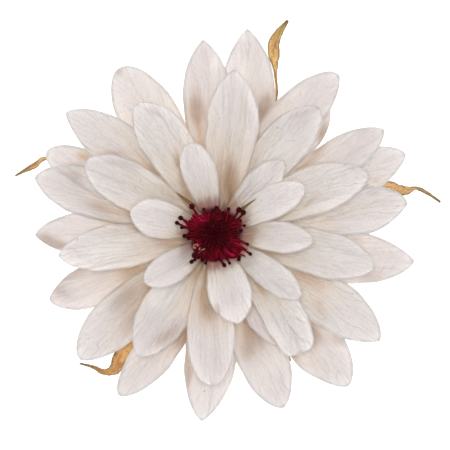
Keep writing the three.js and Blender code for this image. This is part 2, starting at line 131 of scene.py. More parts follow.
# Creases, channels and coloured patches of single petals, seen from above, in millimetres.
# petal counts from 1. A positive tint is tan, partly the petal's own tan and partly painted shade
# in channels and next to covering petals; above 1.1 it turns dark brown, painted shadow in the
# gaps between petals. It narrows and grows stronger towards the axis. A negative tint is mauve,
# painted shade on folds, creases and turned-down margins, and fades towards both ends.
# A positive shade is a painted light patch, a negative one painted shadow next to a covering petal.
Fold = namedtuple("Fold", "petal x0 y0 x1 y1 width depth tint shade", defaults=(0,))
FOLDS = {
    "inner": (
        Fold(3, -14, -10.5, -9, -8, 0.8, 0.2, 0.3),
        Fold(4, 3, -11, 5.4, -21, 4.6, 0.1, -0.5),
        Fold(4, 4.4, -15, 5, -20, 0.3, 0.15, -0.5),
        Fold(4, 0.2, -18, 1.2, -22, 1.2, 0, 0, -0.8),
        Fold(4, 7.2, -14.5, 7.6, -19, 0.3, 0.15, -0.4),
        Fold(5, 13, -11.5, 19, -15.5, 0.4, 0.2, -0.35),
        Fold(5, 20.6, -12.6, 22, -15.4, 1.4, 0, -0.4),
        Fold(7, 13, 7, 22, 11.6, 4.2, 0, -0.4),
        Fold(8, 9, 12, 16, 20, 2.5, 0, 0, 0.6),
    ),
    "middle": (
        Fold(1, 3.8, 25, 4.2, 7, 2.2, 0.7, 1.1),
        Fold(1, 3.8, 21, 4.2, 8, 1.5, 0, 0.8),
        Fold(1, 4, 22, 4.2, 12, 2.2, 0, 0, -0.6),
        Fold(1, 7.8, 37, 10.8, 27, 1.4, 0.5, -0.5),
        Fold(1, 1.8, 40, 2.2, 31, 0.3, 0.25, -0.4),
        Fold(2, -10.8, 27, -10, 18.5, 1, 0.5, 0.8),
        Fold(2, -10.3, 21, -8.6, 13, 0.9, 0.5, 0.7),
        Fold(2, -9, 15, -6.8, 8.8, 1.1, 0.4, 0.8),
        Fold(2, -18, 20, -14, 15, 2, 0, 0, 0.7),
        Fold(2, -19.5, 34.3, -14, 31.5, 0.7, 0.35, -0.6),
        Fold(3, -30, 20.2, -19, 17.6, 1.5, 0.5, -0.8),
        Fold(3, -34, 17.3, -24, 13.2, 0.3, 0.25, -0.4),
        Fold(3, -17, 12.8, -9, 9, 2.2, 0.3, 0.5),
        Fold(3, -26.5, 8, -22, 7.4, 1, 0, 0.5),
        Fold(3, -21, 16, -13, 14, 2, 0, 0, 0.5),
        Fold(4, -20, -0.5, -12, -3, 2.2, 0.2, 0.65),
        Fold(4, -28, 2.2, -24, 1.2, 1.6, 0.2, -0.5),
        Fold(4, -36, -4, -21, -3, 3.6, 0, 0, 0.9),
        Fold(4, -24.5, 2.8, -14.5, 1, 2, 0, 0, -1.2),
        Fold(5, -10.5, -13, -5, -8.6, 1.5, 0.2, 0.75),
        Fold(5, -13, -26, -7, -22.5, 2.4, 0.4, -0.6),
        Fold(5, -17.5, -19.5, -9.2, -13, 3, 0, 0, 1.5),
        Fold(5, -17, -30, -8.5, -24.8, 2.2, 0, 0, -0.8),
        Fold(5, -9, -27.5, -6.4, -20.5, 1, 0.1, 0.6, -0.7),
        Fold(6, -2.9, -17, -1.8, -8, 0.8, 0.3, 1.8),
        Fold(6, -0.4, -28.5, -2.6, -16, 3.2, 0.4, 1.05),
        Fold(6, -2, -31, 3, -38, 2.5, 0, -0.3),
        Fold(6, -2.6, -18, -0.8, -24, 2.2, 0, 0, -0.6),
        Fold(7, 10, -15.5, 10.4, -22, 0.5, 0.4, 0.6),
        Fold(7, 13, -24, 19, -31, 1.6, 0, 0, -0.7),
        Fold(8, 9, -8.4, 15.2, -18, 0.7, 0.2, 1.1),
        Fold(8, 15.5, -20, 9.6, -10, 1.4, 0.1, 1.1),
        Fold(8, 22, -24, 25, -27, 2.4, 0.1, -0.4),
        Fold(8, 21.6, -19, 25.4, -20.6, 0.35, 0.3, -0.5),
        Fold(8, 20, -21.8, 25.6, -24.2, 0.35, 0.35, -0.6),
        Fold(8, 18.4, -22.5, 22.4, -27.6, 0.35, 0.3, -0.5),
        Fold(8, 21.4, -27.6, 25.8, -29.4, 0.35, 0.3, -0.6),
        Fold(8, 14.5, -19.5, 19.6, -29.8, 0.3, 0.2, -0.6),
        Fold(8, 17, -17.4, 20, -19, 1.4, 0, 0.4),
        Fold(8, 20, -20, 25, -30, 3.5, 0, 0, 0.45),
        Fold(9, 14, -5.3, 24, -6.6, 0.5, 0.3, 0.3),
        Fold(9, 13, -4.7, 8.6, -3, 0.9, 0, 1.7),
        Fold(9, 22, -4, 38, -6.8, 3.5, 0, 0, 0.7),
        Fold(10, 29.5, 12.6, 24, 7, 1, 0.6, 0.5),
        Fold(10, 24.5, 7.4, 12, 2.4, 1, 0.5, 0.95),
        Fold(10, 12, 9.4, 7.5, 6, 0.8, 0, 2.4),
        Fold(10, 33, 18.8, 40, 16.9, 1.1, 0.4, -0.7),
        Fold(11, 18.5, 30.9, 27, 33.6, 1.1, 0.5, -0.7),
        Fold(11, 8.5, 17.5, 15, 24, 1.5, 0.3, 0.5),
        Fold(11, 12, 17, 22, 28, 3.2, 0, 0, 1),
        Fold(11, 19.3, 19.8, 17.3, 15.6, 0.9, 0.5, 0.9),
        Fold(11, 17.3, 15.6, 10, 10.6, 0.9, 0.5, 0.7),
        Fold(11, 12, 9.8, 7.5, 6.2, 0.8, 0, 2.4),
    ),
    "outer": (
        Fold(1, 13.4, 38, 12.2, 28, 1.8, 0.4, 0.95),
        Fold(1, 14.4, 38.5, 13.6, 30, 2.4, 0, 0, -1.1),
        Fold(1, 6.5, 49, 8.5, 40, 2.6, 0, 0, 0.6),
        Fold(2, -4.7, 40, -4.6, 33, 1.2, 0.4, -0.6),
        Fold(2, -5.4, 39, -3.2, 18, 1.6, 0.5, 0.85),
        Fold(2, -1, 49, 0.5, 42, 2, 0, 0, 0.5),
        Fold(2, -5.6, 38, -4.3, 29, 2.4, 0, 0, -1.1),
        Fold(3, -10.2, 34, -8, 31, 1.1, 0, 0.5),
        Fold(3, -28.8, 42, -23.5, 45.6, 1.5, 0, -0.6, -0.6),
        Fold(4, -26.5, 28, -16, 16.5, 0.6, 0.4, 0.6),
        Fold(4, -31, 22.3, -16, 15.5, 2, 0.2, 0.85),
        Fold(4, -24, 31, -21, 26, 1.6, 0, 0.4),
        Fold(4, -34, 20, -24, 21.5, 2.2, 0, 0, -0.7),
        Fold(5, -39.5, 20.9, -34.2, 21, 2.1, 0, 0.95),
        Fold(5, -41, 18, -34, 17.6, 1.6, 0, 0, -0.8),
        Fold(6, -40, 16, -29, 8, 0.45, 0.5, -0.7),
        Fold(6, -38.5, 17.6, -36.6, 12.5, 2.3, 0.2, -0.7),
        Fold(6, -31.5, 7.2, -20, 4.4, 1.4, 0.1, 0.85),
        Fold(6, -36, 9, -26, 5.5, 2, 0, 0, -0.6),
        Fold(6, -42, 17.3, -34, 15.3, 1.6, 0, 0, -0.5),
        Fold(7, -44, -2, -42, -2.5, 2, 0, -0.5),
        Fold(7, -33, 0.5, -28, 2.8, 1, 0.2, 0.5),
        Fold(7, -47.4, -1.8, -39, -3.8, 1.6, 0, 0, -0.9),
        Fold(7, -49, 0.5, -44, -2, 2, 0, 0, -0.5),
        Fold(8, -30, -10, -16, -10.5, 2.2, 0.3, 1.1),
        Fold(8, -28.5, -14, -25, -17, 1.8, 0.2, 0.45),
        Fold(8, -44.5, -12, -34, -9, 2.4, 0, 0, -0.8),
        Fold(8, -27, -12, -17, -11, 2, 0, 0, -0.5),
        Fold(8, -46, -14.5, -38, -17, 2, 0, 0, -0.5),
        Fold(9, -23.6, -27, -16.5, -11.5, 2.2, 0.3, 0.75),
        Fold(9, -24.8, -30, -19.6, -15, 4.1, 0, 0, -0.65),
        Fold(9, -29, -21, -20, -12.5, 2.4, 0, 0, -0.5),
        Fold(10, -4.8, -23, -12.5, -34.5, 1.5, 0.4, 1),
        Fold(10, -5.6, -22, -10.5, -31, 2.6, 0, 0, -1.2),
        Fold(11, -7.6, -37, -6.6, -29, 0.8, 0.2, 1),
        Fold(11, -7.8, -31, -7.4, -43, 1.5, 0, 0, -0.9),
        Fold(12, 10, -32, 8, -23, 3, 0.4, 0.7),
        Fold(12, 13.4, -31.6, 9, -22.5, 3, 0, 0, -0.9),
        Fold(12, 9, -35, 8.4, -28, 2.4, 0, 0, -0.6),
        Fold(12, 17.6, -34, 18.3, -42, 1.2, 0.2, -0.35),
        Fold(13, 24.6, -36.6, 20.2, -32.2, 1.5, 0.1, 1),
        Fold(13, 28, -29.6, 34, -29.6, 0.9, 0.2, -0.5),
        Fold(13, 25.8, -22.5, 27.5, -30.5, 2.2, 0, 0, -0.8),
        Fold(13, 30, -27.6, 38, -29.5, 1.8, 0, 0, -0.7),
        Fold(14, 36, -16, 22, -10.6, 2.6, 0.3, 0.8),
        Fold(14, 33, -27, 27.4, -19, 2.6, 0, 0.5),
        Fold(14, 26.5, -25.5, 29.5, -28.2, 0.5, 0.3, -0.7),
        Fold(15, 42, -4, 50, -8, 3.5, 0, 0.3),
        Fold(15, 41, -0.9, 37.5, -1.4, 0.8, 0.1, 0.6),
        Fold(15, 38, -11.5, 47, -12.2, 1.8, 0, 0, -0.5),
        Fold(15, 43.6, -6.3, 41, -2.6, 0.35, 0.2, -0.8),
        Fold(15, 46, -6.5, 43.8, -1.9, 0.35, 0.2, -0.9),
        Fold(15, 48.2, -6.8, 46.4, -2.8, 0.35, 0.2, -0.8),
        Fold(15, 43.6, -8, 41, -10.8, 0.35, 0.2, -0.7),
        Fold(15, 46.4, -7.8, 44.2, -11, 0.35, 0.2, -0.8),
        Fold(15, 48.6, -7.8, 47, -10.4, 0.35, 0.2, -0.8),
        Fold(16, 42, 7.4, 29, 3.6, 1.2, 0.2, 0.4),
        Fold(16, 44, 3.6, 30, 1.2, 0.9, 0.1, 0.3),
        Fold(16, 40, 12, 45, 11, 1.4, 0.2, -0.6),
        Fold(17, 43, 14.2, 46, 14.6, 1.2, 0, 0.55),
        Fold(18, 31, 24.5, 19.8, 14, 1.5, 0.4, 1.1),
        Fold(18, 30.5, 26, 26, 20.5, 1.5, 0, 0, -0.6),
        Fold(18, 36, 27.2, 43, 27.8, 0.9, 0.2, -0.4),
        Fold(19, 29.2, 31, 28.4, 24, 1.2, 0.1, 0.8),
        Fold(19, 30.5, 31, 29, 25, 1.6, 0, 0, -0.9),
        Fold(20, 28.6, 30.3, 31.5, 32.4, 0.9, 0.5, -1.2),
        Fold(20, 15.5, 34, 21, 39, 0.5, 0.1, 0.6),
    ),
}

# The sepals' middle lines, close to those of the part's source but a little slimmer.
# Each row is x, y, z, width and twist.
SEPALS = (
    (
        (2.7, 5.8, 8.8, 7, 0),
        (6.2, 13.2, 8.6, 8.4, 0),
        (11, 23, 8.6, 7, 15),
        (15, 31, 8.8, 3.4, 60),
        (16.8, 37, 8.8, 1.3, 85),
        (16.5, 43, 8.9, 1.3, 80),
        (15.9, 48, 9, 3.4, 25),
        (16.2, 52.5, 9.6, 3, 0),
        (19.7, 57.8, 10.6, 0.7, -20),
    ),
    (
        (6.2, 1.6, 8.8, 7, 0),
        (14, 3.7, 8.5, 8.4, 0),
        (25, 6.7, 8.3, 7.2, 5),
        (37, 10, 8.4, 4.6, 15),
        (46.5, 12.6, 8.6, 3.1, 15),
        (51, 11.7, 8.8, 2.9, 0),
        (54.4, 12.4, 9.2, 1.1, 60),
        (57.8, 10.9, 9, 0.9, 20),
        (61.1, 8.6, 8.4, 0.6, 0),
    ),
    (
        (-5.9, 2.5, 8.8, 7, 0),
        (-13.2, 5.6, 8.5, 8.2, 0),
        (-24, 10.4, 8.3, 6.8, 8),
        (-35, 15.4, 8.2, 4.2, 25),
        (-45, 20.4, 8.2, 1.0, 30),
        (-49.2, 18.4, 8.6, 1.6, 15),
        (-54.2, 15.7, 9.2, 0.3, 0),
    ),
    (
        (-3.8, -5.1, 8.8, 7, 0),
        (-8.6, -11.6, 8.5, 8.4, 0),
        (-15, -20, 8.3, 7.4, 0),
        (-21.4, -28.6, 8.2, 5, 10),
        (-25.2, -33, 8, 4.6, 10),
        (-27, -36.4, 7.8, 3.4, 15),
        (-29.8, -37.5, 8, 1.7, 25),
        (-33.2, -36, 8.4, 0.9, 0),
        (-36.7, -35.1, 8.8, 0.4, 0),
    ),
    (
        (2.9, -5.7, 8.8, 7, 0),
        (6.6, -12.9, 8.5, 8.4, 0),
        (11, -21.2, 8.3, 6.8, -10),
        (15, -27.6, 8.2, 4.2, -30),
        (18, -31.6, 8.4, 2.4, -50),
        (20.4, -34.4, 9, 0.7, -30),
    ),
)

# Ends of the filaments that stand out from the rim of the eye: x, y, size of the knob and tone.
# A size of 0 is no knob.
RIM_STAMENS = (
    (-6.1, 7.2, 1.5, 0.4),
    (-9.0, 4.2, 1.35, 0.5),
    (-10.0, 2.9, 1.1, 0.3),
    (-8.7, 1.7, 0.9, 0.2),
    (-7.9, -0.5, 1.25, 0.3),
    (-6.9, -1.2, 1.0, 0.3),
    (6.3, 6.3, 1.45, 0.2),
    (7.5, 5.6, 1.45, 0.2),
    (6.7, 3.6, 0.8, 0.4),
    (7.7, 2.3, 0.8, 0.4),
    (6.8, 0.8, 1.1, 0.2),
    (8.5, -2.6, 0.9, 0.5),
    (9.3, -5.2, 1.0, 0.4),
    (-5.5, -5.5, 1.45, 0.2),
    (-6.1, -7.3, 1.15, 0.1),
    (-5.3, -6.7, 0.9, 0.2),
    (-3.2, -6.9, 1.0, 0.1),
    (-2.4, -7.6, 0.9, 0.2),
    (2.4, -8.2, 1.15, 0.1),
    (3.8, -7.6, 0.85, 0.2),
    (0.6, 6.9, 1.1, 0.3),
    (-2.9, 6.4, 1.0, 0.4),
    (3.6, 6.5, 1.0, 0.4),
    (-8.4, 3.5, 0, 0.6),
    (-7.9, 3.0, 0, 0.5),
    (-7.6, 2.3, 0, 1.0),
    (-7.2, 1.1, 0, 0.6),
    (-6.9, 0.6, 0, 0.4),
    (-5.8, 5.2, 0, 1.4),
    (-5.0, 5.4, 0, 1.2),
    (-5.0, -1.8, 0, 0.8),
    (-5.3, -3.4, 0, 1.1),
    (7.3, 3.0, 0, 0.6),
    (7.0, 1.8, 0, 0.5),
    (8.4, -4.2, 0, 0.9),
    (8.2, -6.0, 0, 0.7),
)
# How far the mat of filaments spreads, each 15 degrees from +X round to the left.
EYE_REACHES = (
    6.0, 6.2, 6.9, 7.5, 6.9, 6.4, 6.3, 6.3, 6.4, 7.1, 8.0, 8.4,
    7.0, 5.7, 6.2, 7.8, 7.6, 7.4, 7.5, 7.8, 8.2, 8.9, 9.2, 7.6,
)
# The few pale filaments that have curled up: x, y and the turn at which each curl starts.
PALE_CURLS = (
    (-4.3, -2.9, 0.3),
    (-3.3, -3.6, 2.0),
    (-5.2, -3.4, 1.1),
    (-4.6, -4.4, 3.4),
    (8.2, -3.9, 4.4),
    (7.9, -5.0, 0.7),
)

# Heights in the eye, over its foot, and the steps and sides of its parts.
FILAMENT_STEPS = 7
RIM_FILAMENT_STEPS = 8
CURL_STEPS = 10
THREAD_SHARP_ANGLE = 80
FILAMENT_ROOT = 1.8
RIM_FILAMENT_ROOT = 2.6
RIM_FILAMENT_BOW = 4.9
RIM_FILAMENT_TIP = 4.1
CURL_FOOT = 3.6
MAT_TOP = 2.9
MAT_DOME = 0.7
MAT_THICKNESS = 0.5
MAT_RINGS = 14
MAT_SIDES = 144
CUSHION_SINK = 0.2

# Two small golden strips between inner petals. They stand partly for tan petal bases and partly
# for the shadow in the gaps between inner petals, painted shadow made into pieces; the second lies
# in the darkest such gap. Each row is root, tip and width. Heights are over the foot of the eye.
DRY_STRIPS_AND_GAP_SHADOWS = (
    ((-5.4, 7.3, 2.4), (-10.5, 11.3, 3.4), 1.35),
    ((6.6, 6.3, 2.65), (11.1, 9.5, 7.35), 1.05),
)
STRIP_STEPS_ALONG = 12
STRIP_STEPS_ACROSS = 4
STRIP_THICKNESS = 0.15

# Radius and height along the turned forms, from the axis out and back to it.
RECEPTACLE_PROFILE = ((0, 11.1), (7.2, 11.1), (7.3, 12), (6.5, 18.2), (6.1, 18.4), (0, 18.4))
CUSHION_PROFILE = ((0, 0), (5.4, 0), (5.9, 0.9), (5.4, 1.8), (3.6, 2.4), (1.2, 2.2), (0, 2.1))
CUP_HEIGHT = 11
CUP_RIBS = 15
CUP_PROFILE = (
    (0, 0), (5.6, 0), (5.9, 0.25), (7.4, 2.2), (8.3, 4.9), (8.6, 7.7), (7.8, CUP_HEIGHT), (0, CUP_HEIGHT),
)

PHOTO_PIXELS = 450
MM_PER_PIXEL = 0.27
AXIS_PIXEL = (215, 234)

# The stage, in metres. BACKDROP_RISE is a share of the backdrop's radius.
FOCUS_HEIGHT = 0.02
FLAT_PETAL_HEIGHT = 0.004
KEY_LIGHT_PLACE = (-0.35, 0.45, 1.0)
KEY_LIGHT_SIZE = 0.9
TOP_LIGHT_PLACE = (0, 0.05, 1.9)
TOP_LIGHT_SIZE = 0.45
BACKDROP_SIDES = 64
BACKDROP_FOOT = -0.05
BACKDROP_RISE = 0.45


# Numbers

def lerp(a, b, share):
    return a + (b - a) * share


def smooth_step(low, high, value):
    share = min(max((value - low) / (high - low), 0), 1)
    return share * share * (3 - 2 * share)


def seeded_draws(seed):
    """The same draws as the part's source makes."""
    state = seed
    while True:
        state = state * 16807 % 2147483647
        yield state / 2147483647


# Meshes

def add_piece(name, points, faces, material, attributes, node, sharp_angle=50):
    """Makes a piece from points in millimetres, rides it on the body and hides the part it stands for."""
    mesh = bpy.data.meshes.new(name)
    mesh.from_pydata([Vector(point) * MM for point in points], [], faces)
    mesh.validate()
    for attribute_name, values in attributes:
        attribute = mesh.attributes.new(attribute_name, "FLOAT_VECTOR", "POINT")
        attribute.data.foreach_set("vector", [number for value in values for number in value])
    mesh.shade_smooth()
    mesh.set_sharp_from_angle(angle=math.radians(sharp_angle))
    mesh.materials.append(material)
    piece = bpy.data.objects.new(name, mesh)
    bpy.context.scene.collection.objects.link(piece)
    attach(piece, "root")
    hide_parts(node)


def turned(profile, sides):
    """Points and faces of a closed turned form, from a profile that starts and ends on the axis."""
    points = [(0, 0, profile[0][1])]
    for radius, height in profile[1:-1]:
        for k in range(sides):
            angle = 2 * math.pi * k / sides
            points.append((radius * math.cos(angle), radius * math.sin(angle), height))
    points.append((0, 0, profile[-1][1]))
    return points, turned_faces(0, len(profile) - 2, sides)


def turned_faces(first, rings, sides):
    """Faces of a closed turned form: a first point, rings of points and a last point."""
    faces = []
    top = first + 1 + rings * sides
    for k in range(sides):
        after = (k + 1) % sides
        faces.append((first, first + 1 + after, first + 1 + k))
        for low in range(first + 1, top - sides, sides):
            high = low + sides
            faces.append((low + k, low + after, high + after, high + k))
        faces.append((top - sides + k, top - sides + after, top))
    return faces


def closed_blades(blades, columns, names):
    """Points, faces and attributes of blades.

    A blade is a list of rows. Each row is an upper point, the lower point behind it and their named marks.
    """
    points, faces = [], []
    marks = [[] for _ in names]
    for blade in blades:
        uppers, lowers, *columns_of_marks = zip(*blade)
        faces += blade_faces(len(blade) // columns, columns, len(points))
        points += uppers + lowers
        for mark, values in zip(marks, columns_of_marks):
            mark += values + values
    return points, faces, tuple(zip(names, marks))


def blade_faces(rows, columns, first):
    """Faces of a closed blade: an upper grid of points from the first one on, then the lower grid."""
    faces = []
    shift = rows * columns
    for j in range(rows - 1):
        for i in range(columns - 1):
            a = first + j * columns + i
            b = a + columns
            faces.append((a, b, b + 1, a + 1))
            faces.append((a + shift, a + 1 + shift, b + 1 + shift, b + shift))
    rim = [j * columns for j in range(rows)]
    rim += [(rows - 1) * columns + i for i in range(1, columns)]
    rim += [j * columns + columns - 1 for j in range(rows - 2, -1, -1)]
    rim += list(range(columns - 2, 0, -1))
    for k, corner in enumerate(rim):
        a = first + corner
        b = first + rim[(k + 1) % len(rim)]
        faces.append((a, a + shift, b + shift, b))
    return faces


# Petals

def petal_point(ring, petal, curl, lean, along, across, trim=1.0):
    """The upper face of a petal, as in the part's source, with its spread and its vein coordinate."""
    start = Vector((math.cos(math.radians(petal.root)), math.sin(math.radians(petal.root))))
    end = Vector((math.cos(math.radians(petal.tip)), math.sin(math.radians(petal.tip))))
    start *= PETAL_ROOT_RADIUS
    end *= petal.reach
    chord = (end - start).normalized()
    left = Vector((-chord.y, chord.x))
    middle = (start + end) / 2 + left * 2 * petal.bend
    centre = start * (1 - along) ** 2 + middle * 2 * along * (1 - along) + end * along**2
    heading = ((middle - start) * (1 - along) + (end - middle) * along).normalized()

    growth = math.sin(min(along / petal.widest, 1) * math.pi / 2) ** WIDENING_POWER
    past_widest = max(along - petal.widest, 0) / (1 - petal.widest)
    taper = max(1 - past_widest**2, 0) ** (petal.fullness + petal.slant * across)
    spread = (ring.claw + (1 - ring.claw) * growth) * taper
    side = across * spread * petal.width / 2 * trim

    climb = (ring.rise + ring.lift * petal.layer) * along + 4 * ring.arch * along * (1 - along)
    opened = spread * min(CUP_OPENING_RATE * along, 1)
    section = (ring.cup * across**2 + ring.lean * lean * across) * opened
    height = ring.foot + ring.step * petal.layer + climb + section + ring.curl * curl * along**2
    fan = across * taper / (1 + VEIN_SPREADING * past_widest)
    return Vector((centre.x - heading.y * side, centre.y + heading.x * side, height)), spread, fan


def folds_at(folds, point):
    """Depth of the folds at a point seen from above, their tint and their shade."""
    depth = tint = shade = 0
    here = point.xy
    for fold in folds:
        ends = Vector((fold.x0, fold.y0)), Vector((fold.x1, fold.y1))
        start, end = sorted(ends, key=lambda end: -end.length)
        reach = end - start
        share = min(max((here - start).dot(reach) / reach.length_squared, 0), 1)
        if fold.tint > 0:
            width = fold.width * lerp(1.5, 0.75, share)
            strength = lerp(0.1, 1, smooth_step(0, 0.9, share))
        else:
            width = fold.width
            strength = 0.35 + 0.65 * math.sin(math.pi * share)
        near = strength * math.exp(-(((here - start - reach * share).length / width) ** 2))
        depth += fold.depth * near
        tint += fold.tint * near
        shade += fold.shade * near
    return depth, tint, shade


def petal_relief(settings, petal, seed, along, lateral, fan):
    """Height of the pleats, the edge wave and the middle channel over the plain blade."""
    edge = abs(lateral) / petal.width * 2
    pleats = noise.noise(Vector((fan * 3.4, along * 1.6, seed)))
    pleats += 0.55 * noise.noise(Vector((fan * 9, along * 3, seed + 9)))
    pleats += 0.3 * noise.noise(Vector((lateral * 0.9, along * 14, seed + 21)))
    wave = noise.noise(Vector((along * 6, 4 if lateral > 0 else 8, seed))) * edge**3
    depth = 0.6 + 0.8 * noise.noise(Vector((seed, 2.5, 7.5)))
    channel = math.exp(-((lateral / 1.3) ** 2)) * (1 - smooth_step(0.15, 0.75, along)) * depth
    relief = settings.pleat_height * pleats + settings.wave_height * wave - settings.groove_depth * channel
    return smooth_step(0.02, 0.25, along) * relief


def build_petals(settings, ring_name):
    """Points, faces and place attributes of all the petals of a ring."""
    ring = RINGS[ring_name]
    draws = seeded_draws(PETAL_SEED)
    varied = {name: [(next(draws) - 0.5, next(draws) - 0.5) for _ in PETALS[name]] for name in RINGS}
    blades = []
    for number, petal in enumerate(PETALS[ring_name]):
        curl, lean = varied[ring_name][number]
        seed = 17.3 * number + 101 * list(RINGS).index(ring_name)
        folds = [fold for fold in FOLDS[ring_name] if fold.petal == number + 1]
        back = Matrix.Rotation(math.radians(petal.tip), 3, "Z") @ Matrix.Rotation(
            math.radians(-ring.tilt), 3, "Y"
        ) @ Vector((0, 0, -1))
        length = petal.reach - PETAL_ROOT_RADIUS
        blade = []
        for j in range(settings.steps_along + 1):
            along = 1 - (1 - j / settings.steps_along) ** TIP_CROWDING
            for i in range(settings.steps_across + 1):
                across = 2 * i / settings.steps_across - 1
                edge = noise.noise(Vector((along * 9, 20 if across > 0 else 40, seed)))
                trim = 1 + settings.edge_unevenness * edge * smooth_step(0.2, 0.5, along)
                point, spread, fan = petal_point(ring, petal, curl, lean, along, across, trim)
                lateral = across * spread * petal.width / 2
                margin = (1 - abs(across)) * spread * petal.width / 2
                depth, tint, shade = folds_at(folds, point)
                relief = petal_relief(settings, petal, seed, along, lateral, fan)
                point.z += relief - settings.fold_depth * depth
                thick = lerp(settings.thickness, settings.edge_thickness, abs(across) ** 4)
                thick = lerp(thick, settings.edge_thickness, smooth_step(0.9, 1, along))
                blade.append((
                    point, point + back * thick / MM,
                    (along, across, tint),
                    (fan, math.hypot(point.x, point.y), seed),
                    (lateral, along * length, margin),
                    (shade, 0, 0),
                ))
        blades.append(blade)
    return closed_blades(blades, settings.steps_across + 1, ("blade", "fan", "vein", "shade"))


# Shader nodes

class Nodes:
    """Short calls that add and join the nodes of one material."""

    def __init__(self, name):
        self.material = bpy.data.materials.new(name)
        self.material.use_nodes = True
        self.tree = self.material.node_tree
        self.shader = next(n for n in self.tree.nodes if n.type == "BSDF_PRINCIPLED")

    def join(self, value, socket):
        if isinstance(value, bpy.types.NodeSocket):
            self.tree.links.new(value, socket)
        elif socket.type == "RGBA":
            socket.default_value = (*value[:3], 1)
        elif value is not None:
            socket.default_value = value

    def add(self, kind, **settings):
        node = self.tree.nodes.new(kind)
        for key, value in settings.items():
            setattr(node, key, value)
        return node

    def math(self, operation, a, b=None, c=None):
        node = self.add("ShaderNodeMath", operation=operation)
        for value, socket in zip((a, b, c), node.inputs):
            self.join(value, socket)
        return node.outputs[0]

    def attribute(self, name):
        node = self.add("ShaderNodeAttribute", attribute_name=name)
        parts = self.add("ShaderNodeSeparateXYZ")
        self.join(node.outputs["Vector"], parts.inputs[0])
        return parts.outputs

    def vector(self, x, y, z):
        node = self.add("ShaderNodeCombineXYZ")
        for value, socket in zip((x, y, z), node.inputs):
            self.join(value, socket)
        return node.outputs[0]

    def object_parts(self):
        """X, Y and Z of the place on the piece."""
        node = self.add("ShaderNodeTexCoord")
        parts = self.add("ShaderNodeSeparateXYZ")
        self.join(node.outputs["Object"], parts.inputs[0])
        return parts.outputs

    def strip(self, lateral, lateral_scale, arc, arc_scale, seed):
        """A place on a blade, scaled apart across and along it."""
        across = self.math("MULTIPLY", lateral, lateral_scale)
        return self.vector(across, self.math("MULTIPLY", arc, arc_scale), seed)

    def around(self, angle, height, height_scale):
        """A place on a round piece, without a seam where the angle starts again."""
        height = self.math("MULTIPLY", height, height_scale)
        return self.vector(self.math("COSINE", angle), self.math("SINE", angle), height)

    def place(self, scale):
        node = self.add("ShaderNodeTexCoord")
        scaled = self.add("ShaderNodeVectorMath", operation="SCALE")
        self.join(node.outputs["Object"], scaled.inputs[0])
        scaled.inputs["Scale"].default_value = scale
        return scaled.outputs[0]

    def noise(self, vector, scale=1.0, detail=2.0, roughness=0.5, distortion=0.0):
        node = self.add("ShaderNodeTexNoise")
        self.join(vector, node.inputs["Vector"])
        node.inputs["Scale"].default_value = scale
        node.inputs["Detail"].default_value = detail
        node.inputs["Roughness"].default_value = roughness
        node.inputs["Distortion"].default_value = distortion
        return node.outputs["Fac"]

    def fade(self, value, low, high, start=0.0, end=1.0):
        node = self.add("ShaderNodeMapRange", interpolation_type="SMOOTHSTEP")
        self.join(value, node.inputs["Value"])
        node.inputs["From Min"].default_value = low
        node.inputs["From Max"].default_value = high
        node.inputs["To Min"].default_value = start
        node.inputs["To Max"].default_value = end
        return node.outputs[0]

    def lines(self, value, half_width):
        """Evenly counted lines, one at each whole number of the value."""
        return self.fade(self.math("PINGPONG", value, 0.5), 0, half_width, 1, 0)

    def mix(self, share, a, b, blend="MIX"):
        node = self.add("ShaderNodeMix", data_type="RGBA", blend_type=blend)
        self.join(share, node.inputs[0])
        self.join(a, node.inputs[6])
        self.join(b, node.inputs[7])
        return node.outputs[2]

    def bump(self, height, distance, strength=1.0):
        node = self.add("ShaderNodeBump")
        self.join(height, node.inputs["Height"])
        node.inputs["Distance"].default_value = distance
        node.inputs["Strength"].default_value = strength
        self.join(node.outputs[0], self.shader.inputs["Normal"])

    def finish(self, colour, roughness, **sockets):
        self.join(colour, self.shader.inputs["Base Color"])
        self.join(roughness, self.shader.inputs["Roughness"])
        for name, value in sockets.items():
            self.shader.inputs[name.replace("_", " ").title().replace("Ior", "IOR")].default_value = value
        return self.material


